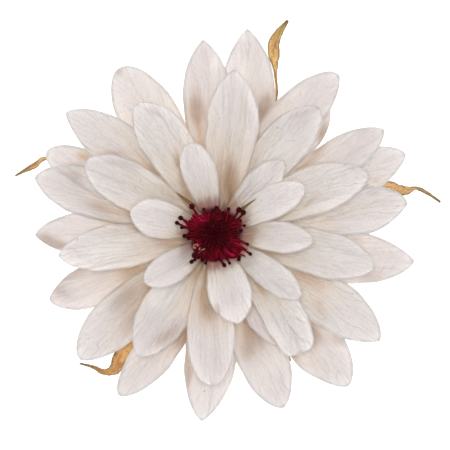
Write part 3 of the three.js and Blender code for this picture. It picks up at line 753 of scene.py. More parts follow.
def petal_material(settings, ring_name):
    """Dry petal skin: off-white, tan towards the root that is partly painted shade, fanning veins, a thin darker
    margin line that is painted shadow near the root, and painted light and shade from the folds and the rings.
    """
    nodes = Nodes("petal_" + ring_name)
    along, across, tint = nodes.attribute("blade")
    fan, radius, seed = nodes.attribute("fan")
    lateral, arc, margin = nodes.attribute("vein")
    seeded = nodes.math("MULTIPLY", seed, 0.37)
    inner = ring_name == "inner"

    clouds = nodes.noise(nodes.strip(lateral, 0.2, arc, 0.08, seeded), detail=3)
    mottle = nodes.noise(nodes.strip(lateral, 1.6, arc, 1.3, seeded), detail=4, roughness=0.65)
    own = nodes.noise(nodes.vector(seeded, 0.5, 0.5), scale=3, detail=0)
    drift = nodes.math("MULTIPLY", nodes.math("SUBTRACT", clouds, 0.5), 0.8)
    place = nodes.math("ADD", along, drift)
    root_end, cream_end = (0.2, 0.55) if inner else (0.34, 0.85)
    # Painted light and shade: each ring's blade is made lighter or darker to stand for how much light it gets.
    brightness = settings.ring_painted_light[list(RINGS).index(ring_name)]
    blade_colour = [channel * brightness for channel in settings.blade_colour]
    # The root tan is partly the petals' own colour and partly painted shade at their bases.
    warm = nodes.mix(nodes.fade(place, 0.08, root_end), settings.root_tan_and_shade_colour, settings.cream_colour)
    colour = nodes.mix(nodes.fade(place, root_end * 0.8, cream_end), warm, blade_colour)
    colour = nodes.mix(nodes.fade(own, 0.35, 0.65, 0, 0.9), colour, settings.cool_colour, "MULTIPLY")
    colour = nodes.mix(nodes.fade(mottle, 0.3, 0.7, 0, 0.7), colour, settings.mottle_colour, "MULTIPLY")
    patchy = nodes.fade(mottle, 0.25, 0.6, 0.75, 1)
    streaks = nodes.noise(nodes.strip(fan, 6, arc, 0.14, nodes.math("ADD", seeded, 3)), detail=4, roughness=0.6)
    streaked = nodes.math("MULTIPLY_ADD", nodes.math("SUBTRACT", streaks, 0.5), 0.9, 1)
    # Tan of the folds: partly the petals' own tan, partly painted shade in channels and next to covering petals.
    tinted = nodes.math("MULTIPLY", tint, streaked)
    tan = nodes.math("MULTIPLY", nodes.fade(tinted, 0.05, 1.1), patchy)
    colour = nodes.mix(nodes.math("MULTIPLY", tan, settings.tan_and_shade_strength), colour, settings.tan_and_shade_colour)
    # Above a tint of 1.1 the colour turns dark brown: painted shadow in the gaps between petals.
    deep = nodes.math("MULTIPLY", nodes.fade(tinted, 1.1, 2.2), 0.9)
    colour = nodes.mix(deep, colour, settings.gap_shadow_colour)
    # Painted shadow next to covering petals where the shade is negative, painted light in the pale patches where
    # it is positive.
    shade = nodes.math("MULTIPLY", nodes.attribute("shade")[0], streaked)
    colour = nodes.mix(nodes.fade(shade, 0, -1), colour, settings.covered_shadow_colour, "MULTIPLY")
    colour = nodes.mix(nodes.fade(shade, 0, 1.1), colour, settings.painted_light_colour)
    # Mauve: painted shade on folds, creases and turned-down margins.
    mauve = nodes.math("MULTIPLY", nodes.fade(tinted, 0, -1.1), patchy)
    colour = nodes.mix(nodes.math("MULTIPLY", mauve, settings.mauve_shade_strength), colour, settings.mauve_shade_colour)

    bend = nodes.math("MULTIPLY", nodes.math("SUBTRACT", clouds, 0.5), 3.2)
    jitter = nodes.noise(nodes.strip(fan, 4, arc, 0.13, seeded), detail=3)
    bend = nodes.math("MULTIPLY_ADD", nodes.math("SUBTRACT", jitter, 0.5), 0.9, bend)
    strong = nodes.noise(nodes.strip(fan, 3.1, arc, 0.05, nodes.math("ADD", seeded, 5)), detail=1)
    main_veins = nodes.lines(nodes.math("MULTIPLY_ADD", fan, 6, bend), 0.085)
    main_veins = nodes.math("MULTIPLY", main_veins, nodes.fade(strong, 0.4, 0.62, 0.2, 1.0))
    slanted = nodes.math("MULTIPLY_ADD", arc, -0.34, nodes.math("ABSOLUTE", lateral))
    slanted = nodes.math("ADD", nodes.math("DIVIDE", slanted, 1.5), nodes.math("MULTIPLY", bend, 1.3))
    side_veins = nodes.math("MULTIPLY", nodes.lines(slanted, 0.06), nodes.fade(jitter, 0.4, 0.56, 0, 0.85))
    threads = nodes.noise(nodes.strip(fan, 11, arc, 0.07, seeded), detail=2)
    fine_veins = nodes.math("MULTIPLY", nodes.lines(nodes.math("MULTIPLY", threads, 7), 0.12), 0.45)
    veins = nodes.math("MAXIMUM", nodes.math("MAXIMUM", main_veins, side_veins), fine_veins)
    shown = nodes.math("MULTIPLY", patchy, nodes.fade(own, 0.3, 0.7, 1, 0.6))
    share = nodes.math("MULTIPLY", nodes.math("MULTIPLY", veins, shown), settings.vein_strength)
    colour = nodes.mix(share, colour, settings.vein_colour)

    # A thin darker line along the margin, grey towards the tip and dark brown towards the root, where it is
    # painted shadow in the gaps between petals.
    narrow, wide, grey = (0.15, 1.2, 1.0) if ring_name == "outer" else (0.2, 0.6, 0.5)
    rim = nodes.math("MULTIPLY", nodes.fade(margin, narrow, wide, 1, 0), nodes.fade(jitter, 0.3, 0.6, 0.5, 1))
    greyed = nodes.fade(along, 0.45, 0.8, 0, grey)
    margin_line = nodes.mix(greyed, settings.root_margin_shadow_colour, settings.margin_colour)
    colour = nodes.mix(nodes.math("MULTIPLY", rim, settings.margin_strength), colour, margin_line)
    rounded = nodes.math("MULTIPLY_ADD", nodes.math("ABSOLUTE", across), -0.02, along)
    colour = nodes.mix(nodes.fade(rounded, 0.965, 0.995, 0, 0.5), colour, settings.margin_colour)

    specks = nodes.noise(nodes.place(1 / MM), scale=1.0, detail=0)
    colour = nodes.mix(nodes.fade(specks, 0.865, 0.89, 0, 0.5), colour, settings.speck_colour)

    smear = nodes.math("MULTIPLY_ADD", streaks, -9, radius)
    if inner:
        dyed = nodes.fade(smear, 2.0, 6.4, settings.bleed_strength, 0)
        colour = nodes.mix(dyed, colour, settings.bleed_colour)
        colour = nodes.mix(nodes.fade(radius, 6.4, 8.0, 0.9, 0), colour, settings.root_stain_colour)
    # The middle petals' roots, seen between the inner petals, are darkened: painted shadow of those deep gaps.
    if ring_name == "middle":
        colour = nodes.mix(nodes.fade(smear, 2.5, 6.0, 0.8, 0), colour, settings.gap_shadow_colour)

    crinkle = nodes.noise(nodes.strip(lateral, 1.1, arc, 0.3, seeded), detail=4, roughness=0.6)
    relief = nodes.math("MULTIPLY_ADD", mottle, 0.3, crinkle)
    relief = nodes.math("MULTIPLY_ADD", veins, -0.14, relief)
    nodes.bump(relief, settings.crinkle_height)
    return nodes.finish(
        colour,
        nodes.fade(mottle, 0.2, 0.8, 0.5, 0.68),
        subsurface_weight=settings.translucency,
        subsurface_scale=0.8 * MM,
        subsurface_radius=(1.0, 0.98, 0.95),
        sheen_weight=0.1,
        sheen_roughness=0.4,
        specular_ior_level=0.3,
    )


def receptacle_material(settings):
    """Cream, slightly fibrous skin of the disc that carries the petals."""
    nodes = Nodes("receptacle_skin")
    fibres = nodes.noise(nodes.place(1 / MM), scale=0.9, detail=4)
    colour = nodes.mix(nodes.fade(fibres, 0.35, 0.65), settings.root_tan_and_shade_colour, settings.cream_colour)
    stained = nodes.fade(nodes.object_parts()[2], 16.4 * MM, 17.6 * MM)
    colour = nodes.mix(stained, colour, settings.root_stain_colour)
    nodes.bump(fibres, 0.2 * MM)
    return nodes.finish(colour, 0.7)


# Stamens

def add_tube(points, faces, tones, path, radii, tone, sides=5):
    """A closed tapering tube along a path, with a tone that its material reads."""
    first = len(points)
    reference = Vector((0.3, 0.2, 1)).normalized()
    for k, centre in enumerate(path):
        heading = (path[min(k + 1, len(path) - 1)] - path[max(k - 1, 0)]).normalized()
        side = heading.cross(reference).normalized()
        over = heading.cross(side)
        for corner in range(sides):
            angle = 2 * math.pi * corner / sides
            points.append(centre + (side * math.cos(angle) + over * math.sin(angle)) * radii[k])
            tones.append((tone, k / (len(path) - 1), 0))
    for k in range(len(path) - 1):
        low = first + k * sides
        for corner in range(sides):
            after = (corner + 1) % sides
            faces.append((low + corner, low + after, low + sides + after, low + sides + corner))
    faces.append(tuple(first + corner for corner in range(sides - 1, -1, -1)))
    end = first + (len(path) - 1) * sides
    faces.append(tuple(end + corner for corner in range(sides)))


def add_anther(points, faces, tones, centre, axis, length, radius, tone, sides=8, rings=5):
    """A small bean shape with a groove along its side."""
    first = len(points)
    side = axis.orthogonal().normalized()
    over = axis.cross(side)
    points.append(centre - axis * length / 2)
    tones.append((tone, 0, 0))
    for k in range(1, rings + 1):
        polar = math.pi * k / (rings + 1)
        for corner in range(sides):
            angle = 2 * math.pi * corner / sides
            groove = 1 - 0.28 * (0.5 + 0.5 * math.cos(2 * angle)) ** 3
            swell = radius * math.sin(polar) ** 0.8 * groove
            ring_centre = centre - axis * math.cos(polar) * length / 2
            points.append(ring_centre + (side * math.cos(angle) + over * math.sin(angle)) * swell)
            tones.append((tone, k / (rings + 1), 0))
    points.append(centre + axis * length / 2)
    tones.append((tone, 1, 0))
    faces += turned_faces(first, rings, sides)


def arc_path(root, bow, tip, steps):
    """Points of the quadratic curve from root to tip."""
    shares = [step / steps for step in range(steps + 1)]
    return [root * (1 - t) ** 2 + bow * 2 * t * (1 - t) + tip * t * t for t in shares]


def eye_reach(angle):
    """How far the mat of filaments spreads in a direction."""
    count = len(EYE_REACHES)
    place = angle / (2 * math.pi) * count
    index = math.floor(place)
    reach = lerp(EYE_REACHES[index % count], EYE_REACHES[(index + 1) % count], smooth_step(0, 1, place - index))
    return reach + 0.5 * noise.noise(Vector((3.2 * math.cos(angle), 3.2 * math.sin(angle), 3.5)))


def eye_glow(angle):
    """The upper left and the lower rim of the eye are brighter than the rest."""
    upper_left = max(math.cos(angle - math.radians(138)), 0) ** 14
    lower = max(math.cos(angle - math.radians(285)), 0) ** 2
    lit = 0.9 * upper_left + 0.6 * lower
    return 0.42 + 0.75 * min(lit, 1) + 0.4 * noise.noise(Vector((3 * math.cos(angle), 3 * math.sin(angle), 9)))


def stamen_paths(settings):
    """The path, the tone and the size of the knob of each stamen; a size of 0 is no knob."""
    rng = random.Random(settings.seed)
    golden = math.pi * (3 - math.sqrt(5))
    stamens = []
    for k in range(settings.count):
        share = math.sqrt((k + 0.5) / settings.count)
        angle = k * golden + rng.uniform(-0.2, 0.2)
        outward = Vector((math.cos(angle), math.sin(angle), 0))
        sideways = Vector((-outward.y, outward.x, 0))
        rim = smooth_step(0.5, 0.95, share)
        root = outward * lerp(0.2, 3.2, share)
        root.z = EYE_FOOT + FILAMENT_ROOT
        reach = eye_reach(angle) * lerp(0.15, 1, share**1.2) + rng.uniform(-0.9, 0.3)
        height = lerp(2.9, 4.2, smooth_step(0.1, 0.75, share)) + rng.uniform(-0.6, 0.4) - 0.7 * rim
        swing = rng.uniform(-1, 1)
        tip = outward * reach + sideways * swing * (0.4 + 1.1 * share)
        tip.z = EYE_FOOT + height
        bow = outward * lerp(root.xy.length, reach, rng.uniform(0.35, 0.7))
        bow -= sideways * swing * rng.uniform(0, 0.9)
        bow.z = EYE_FOOT + height + rng.uniform(0.2, 1.1)
        tone = (lerp(0, 0.75, rim) + rng.uniform(-0.2, 0.4) * share) * eye_glow(angle)
        knob = 0
        if share < 0.5:
            knob = rng.uniform(0.5, 0.75)
        elif rng.random() < settings.rim_knobs * rim:
            knob = rng.uniform(0.7, 1.15)
        stamens.append((arc_path(root, bow, tip, FILAMENT_STEPS), tone, knob))
    for x, y, size, tone in RIM_STAMENS:
        tip = Vector((x, y, EYE_FOOT + RIM_FILAMENT_TIP))
        outward = Vector((x, y, 0)).normalized()
        sideways = Vector((-outward.y, outward.x, 0))
        root = outward * 3.2 + sideways * rng.uniform(-1.2, 1.2)
        root.z = EYE_FOOT + RIM_FILAMENT_ROOT
        bow = outward * rng.uniform(5, 6.2) + sideways * rng.uniform(-1.5, 1.5)
        bow.z = EYE_FOOT + RIM_FILAMENT_BOW
        stamens.append((arc_path(root, bow, tip, RIM_FILAMENT_STEPS), tone, size))
    return stamens


def mat_points():
    """The dense mat under the free filaments: a low dome with a ragged, drooping edge."""
    points, tones = [], []
    for drop in (0, MAT_THICKNESS):
        for ring in range(1, MAT_RINGS + 1):
            share = ring / MAT_RINGS
            for k in range(MAT_SIDES):
                angle = 2 * math.pi * k / MAT_SIDES
                radius = (eye_reach(angle) - 0.6) * share
                x, y = radius * math.cos(angle), radius * math.sin(angle)
                fibres = noise.noise(Vector((9 * math.cos(angle), 9 * math.sin(angle), 0.35 * radius)))
                fibres += 0.6 * noise.noise(Vector((22 * math.cos(angle), 22 * math.sin(angle), 0.3 * radius)))
                dome = MAT_DOME * math.sin(math.pi * share)
                height = EYE_FOOT + MAT_TOP + dome - 0.1 * share + 0.3 * fibres * share
                points.append((x, y, height - drop))
                tones.append((smooth_step(0.35, 1, share) * 0.85 * eye_glow(angle), share, angle))
    centre = EYE_FOOT + MAT_TOP
    points += [(0, 0, centre), (0, 0, centre - MAT_THICKNESS)]
    tones += [(0, 0, 0), (0, 0, 0)]
    return points, mat_faces(MAT_RINGS, MAT_SIDES), tones


def mat_faces(rings, sides):
    """Faces of the mat: fans at the middle, rings of squares, and the rim."""
    faces = []
    shift = rings * sides
    top, bottom = 2 * shift, 2 * shift + 1
    for k in range(sides):
        after = (k + 1) % sides
        faces.append((top, k, after))
        faces.append((bottom, shift + after, shift + k))
        for ring in range(rings - 1):
            a, b = ring * sides + k, ring * sides + after
            faces.append((a, a + sides, b + sides, b))
            faces.append((a + shift, b + shift, b + sides + shift, a + sides + shift))
        a, b = shift - sides + k, shift - sides + after
        faces.append((a, a + shift, b + shift, b))
    return faces


def curled_paths(settings):
    """Paths of the few pale filaments that have curled up at the rim of the eye."""
    rng = random.Random(settings.seed + 1)
    curls = []
    for x, y, turn in PALE_CURLS:
        size = rng.uniform(0.6, 1.0)
        path = []
        for k in range(CURL_STEPS):
            angle = turn + 0.42 * k
            swing = size * (1 - 0.05 * k)
            height = EYE_FOOT + CURL_FOOT + 0.09 * k
            path.append(Vector((x + swing * math.cos(angle), y + swing * math.sin(angle), height)))
        curls.append(path)
    return curls


def filament_material(settings):
    """Burgundy thread, crimson where its tone is light, and tan for the few pale ones."""
    nodes = Nodes("stamen_filament")
    tone = nodes.attribute("tone")[0]
    speckle = nodes.noise(nodes.place(1 / MM), scale=3.0, detail=2)
    lifted = nodes.math("MULTIPLY_ADD", nodes.math("SUBTRACT", speckle, 0.5), 0.35, tone)
    colour = nodes.mix(nodes.fade(lifted, 0.1, 0.6), settings.dark_colour, settings.filament_colour)
    colour = nodes.mix(nodes.fade(lifted, 0.6, 1.1), colour, settings.bright_colour)
    dust = nodes.noise(nodes.place(1 / MM), scale=2.4, detail=1)
    colour = nodes.mix(nodes.fade(dust, 0.66, 0.72, 0, 0.5), colour, settings.dust_colour)
    colour = nodes.mix(nodes.fade(tone, 1.8, 1.9), colour, settings.pale_colour)
    nodes.bump(speckle, 0.06 * MM)
    return nodes.finish(colour, 0.55, specular_ior_level=0.06)


def mat_material(settings):
    """Silky mat of flattened filaments that fan out from a dark middle."""
    nodes = Nodes("stamen_mat_fibres")
    tone, share, angle = nodes.attribute("tone")
    fibres = nodes.noise(nodes.around(angle, share, 0.25), scale=26.0, detail=3, distortion=0.3)
    lifted = nodes.math("MULTIPLY_ADD", nodes.math("SUBTRACT", fibres, 0.5), 1.3, tone)
    colour = nodes.mix(nodes.fade(lifted, 0.1, 0.65), settings.dark_colour, settings.filament_colour)
    colour = nodes.mix(nodes.fade(lifted, 0.7, 1.2), colour, settings.bright_colour)
    nodes.bump(fibres, 0.4 * MM)
    return nodes.finish(colour, 0.5, specular_ior_level=0.06)


def anther_material(settings):
    """Dark maroon knob with a dry grain."""
    nodes = Nodes("stamen_anther")
    tone = nodes.attribute("tone")[0]
    grain = nodes.noise(nodes.place(1 / MM), scale=5.0, detail=2)
    colour = nodes.mix(nodes.fade(grain, 0.35, 0.8), settings.anther_colour, settings.dark_colour)
    colour = nodes.mix(nodes.fade(tone, 0.3, 1.0, 0, 0.5), colour, settings.filament_colour)
    nodes.bump(grain, 0.1 * MM)
    return nodes.finish(colour, 0.6, specular_ior_level=0.06)


def strip_material(settings):
    """Golden skin of the small strips with dark edges, partly tan petal bases and partly painted shadow of the
    gaps between inner petals.
    """
    nodes = Nodes("strip_and_gap_shadow_skin")
    across = nodes.attribute("blade")[1]
    edge = nodes.fade(nodes.math("ABSOLUTE", across), 0.45, 0.95)
    colour = nodes.mix(edge, settings.gold_colour, settings.gold_edge_and_shadow_colour)
    return nodes.finish(colour, 0.7, specular_ior_level=0.2)


# Calyx

def sepal_point(points, share, across, settings, seed):
    """The upper face of a sepal: a twisted, channelled strip with an uneven edge."""
    count = len(points) - 1
    place = share * count
    index = min(int(place), count - 1)
    blend = place - index
    corners = [Vector(points[min(max(index + k, 0), count)][:3]) for k in (-1, 0, 1, 2)]
    centre, heading = catmull_rom(corners, blend)
    width = lerp(points[index][3], points[index + 1][3], blend)
    twist = math.radians(lerp(points[index][4], points[index + 1][4], blend))
    side = Vector((0, 0, 1)).cross(heading).normalized()
    side = Matrix.Rotation(twist, 3, heading) @ side
    over = heading.cross(side).normalized()
    uneven = 1 + 0.2 * noise.noise(Vector((share * 22, 3 if across > 0 else 7, seed)))
    uneven += 0.12 * noise.noise(Vector((share * 60, 13 if across > 0 else 17, seed)))
    channel = 0.16 * width * (across**2 - 0.35)
    fibre = noise.noise(Vector((across * 4, share * 9, seed + 5)))
    fibre += 0.7 * noise.noise(Vector((across * 2, share * 45, seed + 8)))
    wave = 0.3 * noise.noise(Vector((share * 14, across, seed + 11))) * abs(across)
    relief = channel + settings.fibre_height * fibre * min(width / 3, 1) + wave
    return centre + side * across * width / 2 * uneven + over * relief, over


def catmull_rom(corners, blend):
    """A point and the direction on the smooth curve through four points."""
    a, b, c, d = corners
    point = 0.5 * (
        2 * b + (c - a) * blend + (2 * a - 5 * b + 4 * c - d) * blend**2 + (3 * b - a - 3 * c + d) * blend**3
    )
    heading = (c - a) + 2 * (2 * a - 5 * b + 4 * c - d) * blend + 3 * (3 * b - a - 3 * c + d) * blend**2
    return point, heading.normalized()


def build_sepals(settings):
    """Points, faces and place attributes of the five sepals."""
    blades = []
    for number, line in enumerate(SEPALS):
        seed = 31.7 * number
        blade = []
        for j in range(settings.steps_along + 1):
            share = j / settings.steps_along
            for i in range(settings.steps_across + 1):
                across = 2 * i / settings.steps_across - 1
                point, over = sepal_point(line, share, across, settings, seed)
                thick = lerp(settings.thickness, settings.thickness * 0.4, across**2) / MM
                place = min(share * (len(line) - 1), len(line) - 1.001)
                width = lerp(line[int(place)][3], line[int(place) + 1][3], place % 1)
                blade.append((point, point - over * thick, (share, across, seed), (width, 0, 0)))
        blades.append(blade)
    return closed_blades(blades, settings.steps_across + 1, ("blade", "width"))


def sepal_material(settings):
    """Dry ochre strip with lengthwise fibres and a darker olive edge."""
    nodes = Nodes("sepal_skin")
    share, across, seed = nodes.attribute("blade")
    width = nodes.attribute("width")[0]
    seeded = nodes.math("MULTIPLY", seed, 0.31)
    fibres = nodes.noise(nodes.strip(across, 7, share, 9, seeded), detail=4)
    blotches = nodes.noise(nodes.strip(across, 1.5, share, 8, seeded), detail=3)
    folds = nodes.noise(nodes.strip(across, 2.5, share, 46, seeded), detail=3)
    colour = nodes.mix(nodes.fade(fibres, 0.3, 0.7), settings.ochre_colour, settings.light_colour)
    colour = nodes.mix(nodes.fade(seed, 5, 25, 0.45, 0), colour, settings.yellow_colour)
    colour = nodes.mix(nodes.fade(blotches, 0.45, 0.65, 0, 0.7), colour, settings.brown_colour)
    colour = nodes.mix(nodes.fade(folds, 0.54, 0.66, 0, 0.8), colour, settings.brown_colour)
    colour = nodes.mix(nodes.fade(seed, 64, 95, 0, 0.45), colour, settings.rust_colour)
    spots = nodes.fade(nodes.math("MULTIPLY", blotches, fibres), 0.3, 0.4, 0, 0.7)
    colour = nodes.mix(spots, colour, settings.spot_colour)
    frayed = nodes.math("MULTIPLY_ADD", nodes.math("SUBTRACT", folds, 0.5), 0.6, nodes.math("ABSOLUTE", across))
    edge = nodes.math("MULTIPLY", nodes.fade(frayed, 0.62, 0.95), 0.85)
    colour = nodes.mix(edge, colour, settings.edge_colour)
    colour = nodes.mix(nodes.fade(share, 0.86, 0.95, 0, 0.5), colour, settings.olive_colour)
    colour = nodes.mix(nodes.fade(width, 0.7, 1.6, 0.45, 0), colour, settings.edge_colour)
    tip = nodes.fade(share, 0.93, 1.0, 0, 0.85)
    colour = nodes.mix(tip, colour, settings.edge_colour)
    relief = nodes.math("MULTIPLY_ADD", fibres, 0.8, nodes.math("MULTIPLY", folds, 1.2))
    nodes.bump(relief, 0.35 * MM, 0.9)
    return nodes.finish(
        colour, nodes.fade(fibres, 0.2, 0.8, 0.55, 0.8), subsurface_weight=0.1, subsurface_scale=0.5 * MM
    )


def cup_material(settings):
    """Dry skin of the calyx cup, ribbed from the base up, with a pale cut face below."""
    nodes = Nodes("cup_skin")
    x, y, z = nodes.object_parts()
    angle = nodes.math("ARCTAN2", y, x)
    height = nodes.math("DIVIDE", z, CUP_HEIGHT * MM)
    ribs = nodes.noise(nodes.around(angle, height, 0.12), scale=9.0, detail=4)
    colour = nodes.mix(nodes.fade(ribs, 0.35, 0.66), settings.cup_shade_colour, settings.cup_colour)
    blotches = nodes.noise(nodes.place(1 / MM), scale=0.45, detail=3)
    colour = nodes.mix(nodes.fade(blotches, 0.45, 0.7, 0, 0.7), colour, settings.brown_colour)
    colour = nodes.mix(nodes.fade(height, 0.75, 1.0, 0, 0.6), colour, settings.edge_colour)
    radius = nodes.math("SQRT", nodes.math("ADD", nodes.math("MULTIPLY", x, x), nodes.math("MULTIPLY", y, y)))
    rings = nodes.noise(nodes.vector(nodes.math("DIVIDE", radius, MM), 0.0, 0.0), scale=1.6, detail=3)
    wood = nodes.mix(nodes.fade(rings, 0.4, 0.6), settings.cut_colour, settings.light_colour)
    pith = nodes.fade(radius, 1.4 * MM, 1.9 * MM)
    wood = nodes.mix(pith, settings.pith_colour, wood)
    colour = nodes.mix(nodes.fade(z, 0.02 * MM, 0.2 * MM), wood, colour)
    nodes.bump(ribs, 0.4 * MM)
    return nodes.finish(colour, 0.72)


def cup_points(settings):
    """The turned cup with ribs that run up its side."""
    points, faces = turned(refined(CUP_PROFILE, 4), 120)
    ribbed = []
    for x, y, z in points:
        angle = math.atan2(y, x)
        uneven = 0.6 * noise.noise(Vector((x, y, z * 0.4)) * 0.5)
        swell = settings.rib_height * (math.cos(CUP_RIBS * angle) + uneven)
        factor = 1 + swell * smooth_step(0.3, 2.5, z) * (1 - smooth_step(9.5, CUP_HEIGHT, z)) / 8
        ribbed.append((x * factor, y * factor, z))
    return ribbed, faces


def refined(profile, steps):
    """The same profile with each side except the flat ends cut into equal steps."""
    result = [profile[0]]
    for start, end in zip(profile[1:-2], profile[2:-1]):
        for step in range(steps):
            result.append(tuple(lerp(a, b, step / steps) for a, b in zip(start, end)))
    result += [profile[-2], profile[-1]]
    return result


# Settings

def size_property(name, description, default, low=0.0, high=0.01):
    return bpy.props.FloatProperty(
        name=name, description=description, default=default, min=low, max=high, precision=5,
        subtype="DISTANCE", unit="LENGTH",
    )


def relief_property(name, description, default):
    return bpy.props.FloatProperty(name=name, description=description, default=default, min=0, max=3)


def share_property(name, description, default, high=1.0):
    return bpy.props.FloatProperty(name=name, description=description, default=default, min=0, max=high)


def colour_property(name, description, default):
    return bpy.props.FloatVectorProperty(
        name=name, description=description, default=default, size=3, min=0, max=1, subtype="COLOR"
    )


def count_property(name, description, default, low, high):
    return bpy.props.IntProperty(name=name, description=description, default=default, min=low, max=high)


class FlowerPetalSettings(bpy.types.PropertyGroup):
    """Sizes and colours of the petals"""

    thickness: size_property("Thickness", "Thickness of a petal along its middle", 0.0004)
    edge_thickness: size_property("Edge Thickness", "Thickness of a petal at its margin", 0.00014)
    crinkle_height: size_property("Crinkle Height", "Height of the fine crinkles in the skin", 0.0005)
    pleat_height: relief_property("Pleat Height", "Height in millimetres of the soft lengthwise pleats", 0.45)
    fold_depth: relief_property("Fold Depth", "How deep the single folds are, times their own depth", 1)
    wave_height: relief_property("Edge Wave", "Height in millimetres of the wave along the margin", 0.8)
    groove_depth: relief_property("Channel Depth", "Depth in millimetres of the channel along the middle", 0.7)
    edge_unevenness: share_property("Uneven Edge", "Share by which the outline wanders in and out", 0.05)
    steps_across: count_property("Steps Across", "Mesh steps across a petal", 34, 4, 40)
    steps_along: count_property("Steps Along", "Mesh steps along a petal", 60, 8, 80)
    blade_colour: colour_property("Blade", "Colour of the open blade", (0.865, 0.815, 0.80))
    # Painted light: the pale patches are skin made lighter as if more light fell there.
    painted_light_colour: colour_property("Pale Patches", "Colour of the palest patches", (0.93, 0.875, 0.84))
    # Painted shadow: the skin next to a covering petal is darkened as if in its shadow.
    covered_shadow_colour: colour_property("Covered", "Tint of the skin next to a covering petal", (0.68, 0.60, 0.54))
    cool_colour: colour_property("Cool Tint", "Tint that some petals take on", (0.965, 0.95, 0.95))
    mottle_colour: colour_property("Mottle", "Tint of the fine mottling", (0.93, 0.92, 0.92))
    cream_colour: colour_property("Cream", "Colour between root and blade", (0.85, 0.765, 0.67))
    # Partly painted shade: the root tan stands also for the shade at the petals' bases.
    root_tan_and_shade_colour: colour_property("Root", "Colour at the root of a petal", (0.71, 0.55, 0.40))
    # Partly painted shade: the tan stands also for shade in channels and next to covering petals.
    tan_and_shade_colour: colour_property("Tan", "Colour of the tan channels and patches", (0.57, 0.395, 0.24))
    # Painted shade: the mauve stands for shade on folds, creases and turned-down margins.
    mauve_shade_colour: colour_property("Mauve", "Colour of the mauve folds", (0.58, 0.50, 0.50))
    vein_colour: colour_property("Veins", "Colour of the fine veins", (0.46, 0.36, 0.35))
    margin_colour: colour_property("Margin", "Colour of the thin dull margin", (0.36, 0.36, 0.36))
    # Painted shadow: the dark brown margin near the root stands for the thin shadow gaps between petals.
    root_margin_shadow_colour: colour_property("Root Margin", "Colour of the margin near the root", (0.28, 0.17, 0.10))
    speck_colour: colour_property("Specks", "Colour of the few tiny dark specks", (0.20, 0.13, 0.08))
    bleed_colour: colour_property("Bleed", "Colour that the stamens leave on the inner petals", (0.52, 0.10, 0.16))
    root_stain_colour: colour_property("Root Stain", "Burgundy of the innermost roots", (0.12, 0.004, 0.015))
    # Painted shadow: the dark gap colour stands for the deep shade between the inner petals.
    gap_shadow_colour: colour_property("Gap", "Dark colour of the roots between the inner petals", (0.20, 0.085, 0.05))
    # Painted light and shade: the share darkens or lightens each ring as if it got less or more light.
    ring_painted_light: bpy.props.FloatVectorProperty(
        name="Ring Brightness", description="Share of the blade colour of the inner, middle and outer petals",
        default=(0.95, 0.975, 0.92), size=3, min=0, max=1.1,
    )
    vein_strength: share_property("Vein Strength", "How far the veins take their colour", 0.6)
    # Strength of the tan, which is partly painted shade.
    tan_and_shade_strength: share_property("Tan Strength", "How far the patches take their tan", 0.8)
    # Strength of the mauve painted shade.
    mauve_shade_strength: share_property("Mauve Strength", "How far the folds take their mauve", 0.7)
    margin_strength: share_property("Margin Strength", "How far the margin takes its colour", 0.55)
    bleed_strength: share_property("Bleed Strength", "How far the roots of the inner petals are dyed", 0.55)
    translucency: share_property("Translucency", "Share of light that passes into the petal", 0.5)


class FlowerStamenSettings(bpy.types.PropertyGroup):
    """Sizes and colours of the stamen eye"""

    count: count_property("Stamens", "Number of stamens", 420, 20, 900)
    seed: count_property("Seed", "Seed of the stamens' random lean and length", 7, 0, 1000)
    rim_knobs: share_property("Rim Knobs", "Share of the outermost filaments that end in a knob", 0.3)
    filament_radius: size_property("Filament Radius", "Radius of a filament at its root", 0.00025)
    anther_length: size_property("Anther Length", "Length of an anther", 0.0011)
    anther_radius: size_property("Anther Radius", "Radius of an anther", 0.0005)
    dark_colour: colour_property("Dark", "Darkest burgundy", (0.052, 0.001, 0.004))
    dust_colour: colour_property("Dust", "Colour of the tiny grains on the filaments", (0.24, 0.05, 0.07))
    filament_colour: colour_property("Filament", "Burgundy of the outer filaments", (0.17, 0.001, 0.009))
    bright_colour: colour_property("Bright", "Crimson of the lightest filaments", (0.46, 0.007, 0.055))
    anther_colour: colour_property("Anther", "Colour of the anthers", (0.045, 0.0008, 0.0045))
    pale_colour: colour_property("Pale", "Colour of the few pale filaments", (0.55, 0.24, 0.17))
    gold_colour: colour_property("Gold", "Colour of the small dry strips", (0.27, 0.15, 0.06))
    # Partly painted shadow: the dark edges of the strips stand also for the shade in the gaps round them.
    gold_edge_and_shadow_colour: colour_property("Gold Edge", "Colour of the edges of the dry strips", (0.06, 0.03, 0.012))


